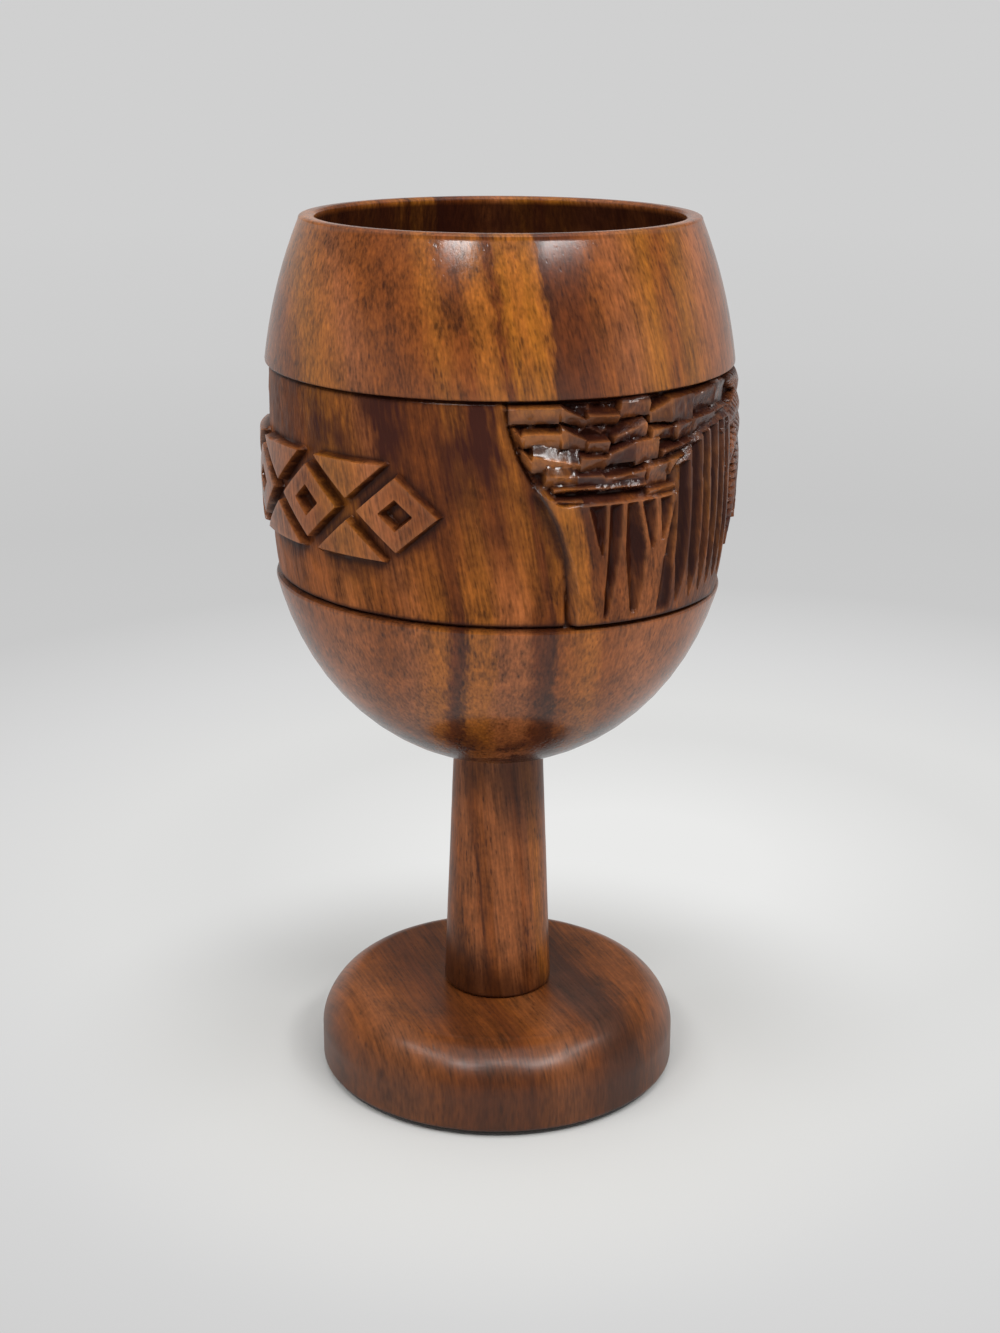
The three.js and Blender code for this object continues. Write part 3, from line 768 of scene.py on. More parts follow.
def near(outline, reach=3.0):
    """Index, distance inside in mm, and nearest outline point, for grid points near an outline."""
    start = np.array(outline, float) * (SPAN, 1)
    end = np.roll(start, -1, 0)
    index, here = in_box(start, reach)
    along = end - start
    t = np.clip(((here - start) * along).sum(-1) / (along**2).sum(-1), 0, 1)
    closest = start + t[..., None] * along
    gap = np.linalg.norm(here - closest, axis=-1)
    best = gap.argmin(1)
    rows = np.arange(index.size)
    crosses = (start[:, 1] > here[..., 1]) != (end[:, 1] > here[..., 1])
    height = np.where(along[:, 1] == 0, 1, along[:, 1])
    left = here[..., 0] < start[:, 0] + (here[..., 1] - start[:, 1]) / height * along[:, 0]
    inside = (crosses & left).sum(1) % 2 == 1
    distance = np.where(inside, 1, -1) * gap[rows, best]
    return index, distance, closest[rows, best]


def snap_to(outlines):
    """Moves grid points that are close to an outline onto it."""
    gap = np.full(az.size, 0.45 * CELL)
    goal_az, goal_up = az.ravel().copy(), up.ravel().copy()
    for outline in outlines:
        index, distance, closest = near(outline, 1.0)
        closer = np.abs(distance) < gap[index]
        picked = index[closer]
        gap[picked] = np.abs(distance[closer])
        goal_az[picked] = closest[closer][:, 0] / SPAN
        goal_up[picked] = closest[closer][:, 1]
    inner = np.zeros(az.shape, bool)
    inner[1:-1] = True
    moved = inner.ravel()
    az.flat[moved], up.flat[moved] = goal_az[moved], goal_up[moved]


# %% [markdown]
# The left of the band has a raised frieze: lozenges with a lozenge-shaped hole, and triangles above
# and below between them, as on printed bark cloth. It repeats, so Geometry Nodes lay it out: one
# lozenge is placed on a staggered lattice, in a middle row and in two outer rows that the frieze's
# edges cut in half. The outer rows have one less, so both ends of the frieze are points.
# The result is read back as plain outlines for the carving and isn't itself shown.

# %% The frieze's layout
FRIEZE_UNITS = 5
FRIEZE_HEIGHT = 19.0
FRIEZE_MIDDLE = 137.6
CHANNEL = 3.4
HOLE_SHARE = 0.44


def lattice_tree():
    inputs = {"Units": "Int", "Unit width": "Float", "Height": "Float", "Lozenge share": "Float"}
    tree, given = new_group("lozenge lattice", {**inputs, "Material": "Material"})
    width = given["Unit width"]
    lozenge = add(tree, "GeometryNodeMeshCircle", 4, 1.0, fill_type="NGON")
    half_width = add(tree, "Math.MULTIPLY", width, 0.5)
    half_height = add(tree, "Math.MULTIPLY", given["Height"], 0.5)
    size = add(tree, "CombineXYZ", half_width, half_height)
    scale = add(tree, "VectorMath.SCALE", size, given["Lozenge share"])
    joined = add(tree, "GeometryNodeJoinGeometry")
    step = add(tree, "CombineXYZ", width)
    one_less = add(tree, "Math.SUBTRACT", given["Units"], 1.0)
    down = add(tree, "Math.MULTIPLY", half_height, -1.0)
    middle_row = (given["Units"], half_width, 0.0)
    for count, x, y in (middle_row, (one_less, width, half_height), (one_less, width, down)):
        start = add(tree, "CombineXYZ", x, y)
        row = add(tree, "GeometryNodeMeshLine", {"Count": count, "Start Location": start, "Offset": step})
        laid = {"Points": row, "Instance": lozenge, "Scale": scale}
        copies = add(tree, "GeometryNodeInstanceOnPoints", laid)
        tree.links.new(copies.outputs[0], joined.inputs[0])
    finish_group(tree, joined, given["Material"])
    return tree


def frieze_outlines():
    """Lozenge outlines as (azimuth, height) points, the middle row first."""
    width = (FRIEZE_TO - FRIEZE_FROM) / FRIEZE_UNITS * SPAN
    diagonal = math.hypot(width, FRIEZE_HEIGHT) / 2
    share = 1 - CHANNEL / 2 * diagonal / (width * FRIEZE_HEIGHT / 4)
    layout = new_object("frieze layout", bpy.data.meshes.new("frieze layout"))
    values = {"Units": FRIEZE_UNITS, "Unit width": width, "Height": FRIEZE_HEIGHT, "Lozenge share": share}
    apply_nodes(layout, lattice_tree(), values)
    made = []
    for face in layout.data.polygons:
        corners = [layout.data.vertices[i].co for i in face.vertices]
        made.append([(FRIEZE_FROM + c.x / SPAN, FRIEZE_MIDDLE + c.y) for c in corners])
    bpy.data.objects.remove(layout)
    return made


def shrunk(outline, share):
    centre = np.mean(outline, 0)
    return [tuple(centre + (np.array(p) - centre) * share) for p in outline]


def resized(outline, by):
    """A lozenge with its sides moved out by some millimetres, or in if that is negative."""
    across, high = (max(p[i] for p in outline) - min(p[i] for p in outline) for i in (0, 1))
    across, high = across * SPAN / 2, high / 2
    return shrunk(outline, 1 + by * math.hypot(across, high) / (across * high))


lozenges = frieze_outlines()
holes = [shrunk(o, HOLE_SHARE) for o in lozenges if abs(np.mean(o, 0)[1] - FRIEZE_MIDDLE) < 1]
frieze_low, frieze_high = FRIEZE_MIDDLE - FRIEZE_HEIGHT / 2, FRIEZE_MIDDLE + FRIEZE_HEIGHT / 2
frieze_strip = [
    (FRIEZE_FROM, frieze_low), (FRIEZE_TO, frieze_low), (FRIEZE_TO, frieze_high), (FRIEZE_FROM, frieze_high),
]
print(f"lozenges laid out: {len(lozenges)}, of which whole and with a hole: {len(holes)}")

# %% [markdown]
# The right of the band has a grove of trees in a deeper panel: a leaf canopy of small chips, forked
# trunks under it, a row of upright flutes and, in the middle, a palm. Its right end is laid out as
# the mirror image of its left end. Heights are in millimetres over the table and azimuths in
# degrees from the front.
#
# The trunks are what is left between gouge cuts, so the cuts are what gets an outline.

# %% Outlines of the grove
PANEL_BORDER = [
    (1.5, 159.6), (2, 155), (4, 150), (7, 145), (10, 141), (13, 136), (15, 130), (16, 124), (16.5, 114.5),
]
TRUNK_FACE_EDGE = [(9.2, 142.5), (11.3, 139.8), (14.2, 135), (17, 128), (18.4, 122), (18.8, 114.5)]
TRUNK_FACE_END = [(68, 114.5), (68, 152.4)]
CANOPY_BOTTOM = [(13.5, 139.9), (44, 139.9), (45, 145), (48, 147.5), (52, 150), (60, 152), (66, 152.5)]
GOUGES = [
    [(19.8, 139.9), (24.3, 139.9), (24.3, 134), (23.9, 128.3), (22.2, 132.6)],
    [
        (25, 139.9), (28.5, 139.9), (28.3, 135), (28.1, 131), (27.6, 126), (26.9, 121), (26.3, 116.6),
        (25, 116.6), (24.7, 122), (24.8, 130),
    ],
    [
        (29.3, 139.9), (32.3, 139.9), (33.6, 136), (35, 131.5), (35.3, 128), (35, 122), (34.6, 116.7),
        (32.3, 116.7), (31.2, 121), (30.1, 126), (29.3, 130.5),
    ],
    [(33.3, 139.9), (37.4, 139.9), (38, 136), (38.1, 132.5), (36.9, 129), (35.7, 132)],
    [(38.6, 139.9), (42.6, 139.9), (41.3, 134.5), (40.2, 131.2), (39.3, 131.2), (39.2, 134.5)],
    [(43.6, 139.9), (41.9, 134), (40.9, 129.5), (41, 126.5), (43.6, 126.8), (44, 133)],
]
SIDE_SLOPE = [(40.5, 128), (43.6, 127.6), (44.6, 116.6), (40.2, 116.6)]
FLUTES = [
    # azimuths of the left side at the top and middle, then of the right side; top height; point
    ((44.5, 44.5), (48.2, 48.8), 146.2, (46.9, 116.8)),
    ((48.9, 49.3), (52.6, 53.4), 149.6, (51.9, 117.2)),
    ((53.2, 53.9), (55.9, 57.1), 151.0, (56.0, 117.3)),
    ((56.6, 57.7), (60.0, 60.6), 151.8, (59.8, 118.6)),
    ((60.7, 61.1), (63.6, 64.2), 152.2, (63.4, 119.4)),
    ((64.3, 64.7), (66.8, 67.3), 152.2, (66.6, 119.4)),
]


def flute_outline(flute):
    (left_top, left), (right_top, right), top, (point, bottom) = flute
    return [
        (left_top, top), (right_top, top), (mix(right_top, right, 0.6), 138), (right, 126),
        (mix(right, point, 0.45), 120.5), (point, bottom), (mix(left, point, 0.5), 120.5), (left, 126),
        (mix(left_top, left, 0.6), 138),
    ]


# %% [markdown]
# The canopy is made of chips. Each is a ridge with a ramp that rises to it from behind the chip
# above, a hollowed face that leans back under the ridge, and a dark stop-cut below the face. They
# were cut freely, so they are placed one by one: left and right azimuth, the height of the ridge at
# both, the height of the face's bottom edge at both, and how far the face turns away to the right,
# in millimetres. How steep each ramp and face is varies at random, with a fixed seed. Painted shade
# fills the corner behind each ridge and the foot of each face, and a wash lies over most of the
# canopy. Only high up at each end are the ridges lightened to golden wood instead, partly as
# sanding wear and partly as a painted highlight.

# %% Chips of the canopy
CHIPS = [
    (1.9, 13.4, 158.8, 158.7, 155.7, 155.8, 0.0),
    (13.6, 19.6, 158.6, 156.2, 156.2, 154.5, 1.3),
    (20.0, 27.8, 157.0, 156.6, 155.2, 154.9, 0.1),
    (28.2, 35.6, 159.0, 159.0, 155.9, 156.2, -0.5),
    (36.0, 42.0, 156.6, 158.4, 154.6, 154.3, -0.7),
    (42.2, 50.2, 158.6, 159.0, 154.2, 153.8, 0.3),
    (50.6, 59.0, 158.4, 159.3, 155.0, 155.2, -0.3),
    (59.4, 66.0, 159.4, 159.5, 155.4, 155.8, 0.4),
    (3.0, 5.0, 154.9, 153.2, 152.9, 151.2, -0.9),
    (5.2, 13.4, 154.0, 153.9, 151.3, 151.2, 0.0),
    (13.6, 19.4, 154.7, 152.4, 151.2, 150.4, 1.2),
    (19.8, 25.0, 152.0, 152.0, 149.9, 149.7, 0.1),
    (26.4, 34.5, 152.6, 154.9, 151.4, 152.4, -0.5),
    (36.0, 43.2, 153.2, 153.3, 151.2, 151.0, 0.9),
    (43.7, 50.0, 153.2, 153.7, 150.6, 150.8, 0.8),
    (50.4, 58.5, 153.9, 154.4, 150.9, 152.2, -0.2),
    (59.0, 66.0, 154.5, 154.8, 152.4, 152.9, 0.3),
    (5.0, 7.0, 150.8, 148.9, 148.6, 146.9, -0.9),
    (7.2, 17.8, 149.8, 147.9, 146.5, 146.2, 0.2),
    (18.0, 24.4, 149.0, 148.8, 146.5, 146.4, 0.9),
    (24.9, 31.4, 149.4, 151.3, 147.4, 147.8, -0.6),
    (31.6, 38.3, 151.4, 151.6, 146.8, 147.6, 0.2),
    (39.4, 49.5, 148.8, 150.0, 147.4, 148.6, 0.1),
    (10.2, 17.2, 146.0, 145.6, 143.6, 143.3, 0.3),
    (17.5, 23.4, 145.7, 145.5, 143.3, 143.3, -0.3),
    (23.8, 34.6, 144.9, 145.6, 143.1, 143.0, 0.4),
    (35.0, 41.2, 146.2, 146.6, 141.4, 141.6, 0.3),
    (41.5, 47.3, 146.8, 147.5, 144.0, 146.8, 0.9),
    (12.0, 23.0, 143.4, 143.3, 142.3, 142.5, 0.1),
    (23.2, 34.6, 143.2, 143.0, 142.4, 142.1, 0.0),
    (10.8, 18.8, 141.3, 140.8, 140.1, 139.5, 0.0),
    (35.2, 43.6, 141.6, 141.9, 139.9, 140.0, 0.2),
]


def chip_outline(chip):
    left, right, top_left, top_right, bottom_left, bottom_right, _ = chip
    return [(left, top_left), (right, top_right), (right, bottom_right), (left, bottom_left)]


# %% [markdown]
# The palm stands in the middle of the panel. Its fronds are bent leaves: each follows a curve from
# the crown to its tip, has a raised midrib, and is scored on both sides into leaflets.

# %% The palm
PALM_CROWN = (PANEL_MIDDLE, 147.7)
FRONDS = [
    # where the frond bends and where it ends, from the middle and over the band's foot; half width
    ((16, 43), (36, 43), 3.0),
    ((22, 40), (42, 33), 3.2),
    ((26, 36), (39, 24), 3.2),
    ((28, 27), (35, 8), 3.4),
    ((16, 27), (19, 11), 2.9),
]
TOP_FROND = ((0, 37), (0, 43.2), 3.2)
FROND_POINTS = 40
BAND_FOOT = 116.2
PALM_TRUNK = [(99.9, 114.5), (109.1, 114.5), (107.9, 146), (101.1, 146)]
COCONUTS = [(108.7, 145.6), (100.3, 145.6), (104.5, 142.8)]
COCONUT_RADIUS = 2.6
FROND_BLUNTNESS = 0.6
FROND_START = 0.12  # how far into a half turn of a sine the width begins, so the crown isn't a point
MIDRIB_FALL = (0.75, 1.4)  # how far the leaf falls away from its midrib, and how late
LEAFLET = 1.9
LEAFLET_SWEEP = 0.9
LEAFLET_CUT = 0.66


def frond_curve(bend, tip, side):
    """Points and directions along a frond, in millimetres round and up, from the crown to the tip."""
    start = np.array([PALM_CROWN[0] * SPAN, PALM_CROWN[1]])
    middle, end = (
        np.array([(PANEL_MIDDLE + side * across) * SPAN, BAND_FOOT + over]) for across, over in (bend, tip)
    )
    t = np.linspace(0, 1, FROND_POINTS)[:, None]
    points = (1 - t) ** 2 * start + 2 * t * (1 - t) * middle + t**2 * end
    along = 2 * (1 - t) * (middle - start) + 2 * t * (end - middle)
    return points, along / np.linalg.norm(along, axis=1, keepdims=True)


# %% [markdown]
# Now the carving itself. It starts from the cut-down ground, which is deepest halfway up the band,
# and then takes each shape in turn. A raised shape keeps its face and slopes steeply down all round
# it, so the shallower of the two surfaces wins. A gouge cut deepens from its outline inwards, so
# the deeper one wins. Soft noise stands for the facets that a chisel leaves.

# %% Carving
GROUND_MIDDLE = 1.9
GROUND_EDGE = 1.0
PROUD = -0.3
WALL_SLOPE = 4.2
WALL_WIDTH = (GROUND_MIDDLE - PROUD) / WALL_SLOPE
NOISE_FROM, NOISE_HIGH = 110, 60  # where the tool marks begin over the table, and how high they go
GROUND_MARKS = ((0.10, 3.5, 3), (0.05, 1.4, 4))  # of each: depth and width in millimetres, seed
CHIP_MARKS = ((0.12, 1.5, 11), (0.05, 0.8, 16))


def ground(azimuth, z):
    share = (z - lower_edge(azimuth)) / (upper_edge(azimuth) - lower_edge(azimuth))
    return mix(GROUND_MIDDLE, GROUND_EDGE, np.clip((2 * share - 1) ** 2, 0, 1))


def cells(across, high):
    """How many noise cells fit, and for each grid point its cell and its place inside that cell."""
    columns, rows = round(360 * SPAN / across), round(NOISE_HIGH / high) + 2
    x, y = (az % 360) / 360 * columns, (up - NOISE_FROM) / high
    i, j = np.floor(x).astype(int), np.floor(y).astype(int)
    return columns, rows, i, j, x - i, y - j


def facets(size, seed):
    """Smooth noise from -1 to 1 on the grid, with features of the given size in millimetres."""
    columns, rows, i, j, u, v = cells(size, size)
    values = np.random.default_rng(seed).uniform(-1, 1, (rows, columns))
    u, v = u * u * (3 - 2 * u), v * v * (3 - 2 * v)
    i, i2 = i % columns, (i + 1) % columns
    return mix(mix(values[j, i], values[j, i2], u), mix(values[j + 1, i], values[j + 1, i2], u), v)


def tool_marks(marks):
    return sum(deep * facets(size, seed) for deep, size, seed in marks)


def scallops(across, high, seed):
    """Shallow hollows with crisp ridges between them, as gouge strokes leave, in millimetres."""
    columns, rows, i, j, u, v = cells(across, high)
    generator = np.random.default_rng(seed)
    centre = generator.uniform(0.1, 0.9, (2, rows, columns))
    low = generator.uniform(-1, 1, (rows, columns))
    made = np.full(az.shape, -9.0)
    for right in (-1, 0, 1):
        for over in (-1, 0, 1):
            column, row = (i + right) % columns, np.clip(j + over, 0, rows - 1)
            along = (u - right - centre[0][row, column]) * across
            above = (v - over - centre[1][row, column]) * high
            made = np.maximum(made, 0.3 * low[row, column] - 0.26 * (along**2 + above**2))
    return made


def mirrored(outline):
    return [(2 * PANEL_MIDDLE - a, z) for a, z in outline]


def both_ends(outlines):
    """Outlines of the grove's left end and of its mirror image at the right end."""
    return [side for outline in outlines for side in (outline, mirrored(outline))]


def smooth_between(values, start, end):
    t = np.clip((values - start) / (end - start), 0, 1)
    return t * t * (3 - 2 * t)


def bell(distance, width):
    """1 on a line, falling off smoothly to both sides of it."""
    return np.exp(-((distance / width) ** 2))


panel = [*PANEL_BORDER, *reversed(mirrored(PANEL_BORDER))]
chips = [(chip_outline(c), c, 1) for c in CHIPS] + [(mirrored(chip_outline(c)), c, -1) for c in CHIPS]
gouges = both_ends(GOUGES)
side_slopes = both_ends([SIDE_SLOPE])
flutes = both_ends([flute_outline(f) for f in FLUTES])
trunk_faces = both_ends([[*TRUNK_FACE_EDGE, *TRUNK_FACE_END, *reversed(CANOPY_BOTTOM)]])
wall_feet = [resized(o, WALL_WIDTH) for o in lozenges] + [resized(o, -WALL_WIDTH) for o in holes]
tops = [panel, *lozenges, *holes, frieze_strip, *[c[0] for c in chips]]
snap_to([*tops, *wall_feet, *gouges, *flutes, *trunk_faces])

depth = ground(az, up) + tool_marks(GROUND_MARKS)
chip_marks = tool_marks(CHIP_MARKS)


def keep(index, level):
    """A raised surface: the shallower one stays."""
    depth.flat[index] = np.minimum(depth.flat[index], level)


def cut(index, level):
    """A cut surface: the deeper one stays."""
    depth.flat[index] = np.maximum(depth.flat[index], level)


def raise_face(outline, level, slope):
    index, inside, _ = near(outline)
    keep(index, level + slope * np.maximum(0, -inside))


def gouge(outline, deepest, slope, lip):
    """A cut with sloping sides; deep cuts keep a rounded bottom."""
    index, inside, _ = near(outline, 0.5)
    inside = np.maximum(0, inside)
    level = lip + deepest * (1 - np.exp(-slope * inside / deepest))
    within = inside > 0
    cut(index[within], level[within])


# %% [markdown]
# The frieze is cut with upright walls and a flat face, with softened corners. The strip's outline
# trims the lozenges of the outer rows to triangles.

# %% Carve the frieze
SOFT_CORNER = (0.06, 0.2)
HOLE_DEEPER = 0.25


def carve_frieze():
    strip_index, strip_inside, _ = near(frieze_strip)
    strip = np.full(az.size, -9.0)
    strip[strip_index] = strip_inside
    for outline in lozenges:
        index, inside, _ = near(outline)
        inside = np.minimum(inside, strip[index])
        face = PROUD + SOFT_CORNER[0] * np.exp(-np.maximum(0, inside) / SOFT_CORNER[1])
        keep(index, face + WALL_SLOPE * np.maximum(0, -inside))
    for outline in holes:
        index, inside, _ = near(outline, 0.5)
        floor = ground(az.flat[index], up.flat[index]) + HOLE_DEEPER
        level = np.minimum(floor, PROUD + WALL_SLOPE * np.maximum(0, inside))
        cut(index[inside > 0], level[inside > 0])


carve_frieze()

# %% [markdown]
# In the grove the panel is sunk first. The block of trunks is then kept at full height, with a
# sloping left side, and cut by the gouges and the flutes. The chips and the fronds stand in the
# sunk part. Last comes the knife line in the corner under the collar.

# %% Carve the grove
EASY_RAMP, STEEP_RAMP = (0.38, 0.6), (1.6, 3.4)
EASY_SHARE = 0.3
CHIP_LEAN = (0.5, 1.6)
CHIP_TURN = 1.3
CHIP_SCOOP = 0.45
CHIP_PROUDEST = -0.35
CHIP_REACH = 4.5
BEHIND_RIDGE = 0.5
CHIP_SEED = 4
CHIP_WASH = (0.45, 1.75)
CHIP_GOLD = (0.4, 1.3)
TRUNK_GROUND = 2.2
CANOPY_GROUND = 2.5
TRUNKS_TO_CANOPY = (138, 146)
SCALLOP = (3.0, 2.1, 12)  # millimetres across and high, and the seed
PANEL_WALL = (1.0, 2.2)  # the wall along the panel's border: depth at its top, and slope
PANEL_CUT, COLLAR_CUT = (0.75, 0.6), (0.55, 0.55)  # knife lines: depth and half width
GOUGE_CUT, FLUTE_CUT, SIDE_CUT = (2.4, 1.7, PROUD), (2.0, 1.5, PROUD + 0.1), (0.8, 1.5, PROUD)
chip_wash, chip_worn_and_highlight, chip_shade = np.zeros((3, *az.shape))


def sink_panel():
    index, inside, _ = near(panel, 0.5)
    within = inside > 0
    high = smooth_between(up.flat[index], *TRUNKS_TO_CANOPY)
    level = mix(TRUNK_GROUND, CANOPY_GROUND, high) + scallops(*SCALLOP).flat[index]
    cut(index[within], np.minimum(level, PANEL_WALL[0] + PANEL_WALL[1] * inside)[within])
    cut(index, (ground(az.flat[index], up.flat[index]) + PANEL_CUT[0]) * bell(inside, PANEL_CUT[1]))


def carve_chip(outline, chip, side, ramp, lean, dark, gold):
    left, right, top_left, top_right, bottom_left, bottom_right, turn_away = chip
    index, _, _ = near(outline, CHIP_REACH)
    a, z = az.flat[index], up.flat[index]
    a = a if side == 1 else 2 * PANEL_MIDDLE - a
    share = np.clip((a - left) / (right - left), 0, 1)
    top, bottom = mix(top_left, top_right, share), mix(bottom_left, bottom_right, share)
    fall = np.clip((top - z) / (top - bottom), 0, 1)
    beside = np.maximum(0, np.maximum(left - a, a - right)) * SPAN
    level = PROUD + lean * fall + CHIP_TURN * turn_away * (share - 0.5) + ramp * np.maximum(0, z - top)
    level += CHIP_SCOOP * np.sin(math.pi * share) * fall
    level = np.maximum(level, CHIP_PROUDEST) + chip_marks.flat[index]
    level += WALL_SLOPE * (np.maximum(0, bottom - z) + beside)
    shows = level < depth.flat[index]
    shown = index[shows]
    behind = np.clip((z - top) / BEHIND_RIDGE, 0, 1)
    chip_wash.flat[shown] = dark
    # golden ridge and face, partly wear and partly a painted highlight
    chip_worn_and_highlight.flat[shown] = (gold * (1 - behind))[shows]
    # painted shade behind the ridge and at the foot of the face
    chip_shade.flat[shown] = np.maximum(0.9 * behind, 0.85 * smooth_between(fall, 0.6, 0.95))[shows]
    keep(index, level)


def carve_frond(bend, tip, half_width, side):
    points, along = frond_curve(bend, tip, side)
    index, here = in_box(points, 5)
    offset = here - points
    best = np.linalg.norm(offset, axis=-1).argmin(1)
    direction = along[best]
    away = offset[np.arange(index.size), best]
    sideways = np.abs(away[:, 0] * -direction[:, 1] + away[:, 1] * direction[:, 0])
    forward = (away * direction).sum(1)
    t = best / (len(points) - 1)
    length = np.linalg.norm(np.diff(points, axis=0), axis=1).sum()
    width = half_width * np.sin(np.pi * mix(FROND_START, 1, t)) ** FROND_BLUNTNESS
    width = np.maximum(width, 0.01)
    out = sideways / width
    between = np.abs(((t * length + forward - LEAFLET_SWEEP * sideways) / LEAFLET) % 1 - 0.5) * 2
    notch = np.maximum(0, 1 - between * 2.2) * np.clip(out * 1.5, 0, 1)
    outside = np.maximum(0, sideways - width * (1 - 0.15 * notch)) + np.maximum(0, np.abs(forward) - 0.6)
    fall = MIDRIB_FALL[0] * out ** MIDRIB_FALL[1]
    keep(index, PROUD + fall + LEAFLET_CUT * notch + WALL_SLOPE * outside)


def carve_coconut(azimuth, z):
    distance = np.hypot((az - azimuth) * SPAN, up - z)
    index = np.flatnonzero(distance.ravel() < COCONUT_RADIUS)
    share = distance.flat[index] / COCONUT_RADIUS
    keep(index, PROUD - 0.05 + 1.6 * (1 - np.sqrt(1 - share**2)))


def carve_canopy():
    generator = np.random.default_rng(CHIP_SEED)
    count = len(CHIPS)
    easy = generator.uniform(0, 1, count) < EASY_SHARE
    easy_ramps, steep_ramps, leans = (
        generator.uniform(*limits, count) for limits in (EASY_RAMP, STEEP_RAMP, CHIP_LEAN)
    )
    ramps = np.where(easy, easy_ramps, steep_ramps)
    spots = np.array([(chip[0], chip[2]) for chip in CHIPS])
    darks = smooth_between(spots[:, 0], 8, 28) + smooth_between(spots[:, 1], 148, 144)
    golds = (1 - np.minimum(darks, 1)) * generator.uniform(*CHIP_GOLD, count)
    darks = np.minimum(darks, 1) * generator.uniform(*CHIP_WASH, count)
    cuts = [*zip(ramps, leans, darks, golds)]
    for (outline, chip, side), cut_as in zip(chips, cuts + cuts):
        carve_chip(outline, chip, side, *cut_as)


def carve_grove():
    sink_panel()
    for outline in trunk_faces:
        raise_face(outline, PROUD + 0.05, 1.15)
    carve_canopy()
    for outlines, shape in ((gouges, GOUGE_CUT), (flutes, FLUTE_CUT), (side_slopes, SIDE_CUT)):
        for outline in outlines:
            gouge(outline, *shape)
    raise_face(PALM_TRUNK, PROUD + 0.1, 2.0)
    for frond in FRONDS:
        for side in (-1, 1):
            carve_frond(*frond, side)
    carve_frond(*TOP_FROND, 1)
    for azimuth, z in COCONUTS:
        carve_coconut(azimuth, z)


carve_grove()
depth[:] = depth + COLLAR_CUT[0] * bell(upper_edge(az) - up, COLLAR_CUT[1]) * (depth > 0)
print("carved depth under the blank, mm:", round(depth.min(), 2), "to", round(depth.max(), 2))

# %% [markdown]
# Stain stays where a cloth can't reach: in cuts that lie deeper than the surface round them, where
# shade falls too. So the depth is compared with a blurred copy of itself. Where it is deeper, there
# is stain and painted shade. Where it is shallower, there is an edge that gets worn and a painted
# highlight. A wider blur finds the ground close to the raised shapes, which the brush also caught
# and which gets painted shade too, and the strip under the collar got the most of it: a wash with
# the painted shade of the collar's overhang. Painted shade also darkens the walls of the raised
# shapes, the deep ground between the chips, their stop-cuts, and the dark lines along the panel's
# border, under the collar's edge and along the groove. The whole grove got a thin wash too, except
# the first trunk at each end. Each cause gives its own value, and the strongest one wins.

# %% Where stain and painted shade lie, and where edges wear and get a painted highlight
# where the wash and painted shade under the collar's overhang begin and where they are full
WASH_AND_SHADE_TOP, WASH_AND_SHADE_NONE = 150.0, 122.0
HEAVY_SIDE = 30.0
FULL_COAT, THIN_COAT = 0.72, 0.2


def blurred(values, passes):
    for _ in range(passes):
        padded = np.pad(values, ((1, 1), (0, 0)), "edge")
        values = (padded[:-2] + 2 * values + padded[2:]) / 4
        values = (np.roll(values, 1, 1) + 2 * values + np.roll(values, -1, 1)) / 4
    return values


def by_distance(outline, reach, rule):
    """On the whole grid, a value that a rule gives from the distance inside an outline."""
    index, inside, _ = near(outline, reach)
    made = np.zeros(az.shape)
    made.flat[index] = rule(inside)
    return made


def inside_of(outline):
    return by_distance(outline, 0.5, lambda inside: inside > 0)


def strongest(*values):
    return np.maximum.reduce(values)


in_panel = blurred(inside_of(panel), 1)
in_cuts = blurred(strongest(*[inside_of(o) for o in [*gouges, *flutes, *side_slopes]]), 1)
off_panel, off_cuts = 1 - in_panel, 1 - in_cuts
hollowness = depth - blurred(depth, 14)
from_end = np.minimum(az, 2 * PANEL_MIDDLE - az)
wall = smooth_between(depth, -0.15, 0.35) * smooth_between(ground(az, up) - depth, 0.1, 0.5) * off_panel
# stain and painted shade: most terms darken hollows, walls, deep gaps and the lines along the panel's border,
# under the collar and along the groove
stain = strongest(
    smooth_between(hollowness, 0.05, 0.7) * mix(0.85, 1.0, in_panel) * (1 - 0.1 * in_cuts),
    in_panel * off_cuts * 0.85 * smooth_between(depth, 0.8, 1.8),
    by_distance(panel, 1.5, lambda inside: bell(inside, 0.65)),
    in_panel * chip_shade * (0.85 + 0.25 * facets(2.0, 18)),
    in_cuts * mix(0.5, 0.8, smooth_between(from_end, 40, 44)),
    0.75 * wall,
    bell(upper_edge(az) - up, 0.75),
    bell(lower_edge(az) - up, 0.5),
)
# wash and painted shade beside the raised shapes and under the collar's overhang
close_by = smooth_between(depth - blurred(depth, 60), 0.05, 0.5) * off_panel
under_collar = smooth_between(up, WASH_AND_SHADE_NONE, WASH_AND_SHADE_TOP) * (depth > 0.5) * off_panel
under_collar *= 0.75 + 0.35 * np.cos(np.radians(az - HEAVY_SIDE))
over_trunks = np.maximum(smooth_between(up, 137, 143), smooth_between(from_end, 38, 46))
wash = strongest(
    0.9 * close_by,
    1.4 * under_collar * (0.8 + 0.3 * facets(6.0, 7)),
    in_panel * smooth_between(depth, -0.15, 0.7),
    0.6 * in_panel * smooth_between(from_end, 14, 30) * mix(0.3, 1.0, over_trunks),
    in_panel * chip_wash,
    1.3 * in_cuts,
    1.2 * in_panel * smooth_between(from_end, 39, 47),
)
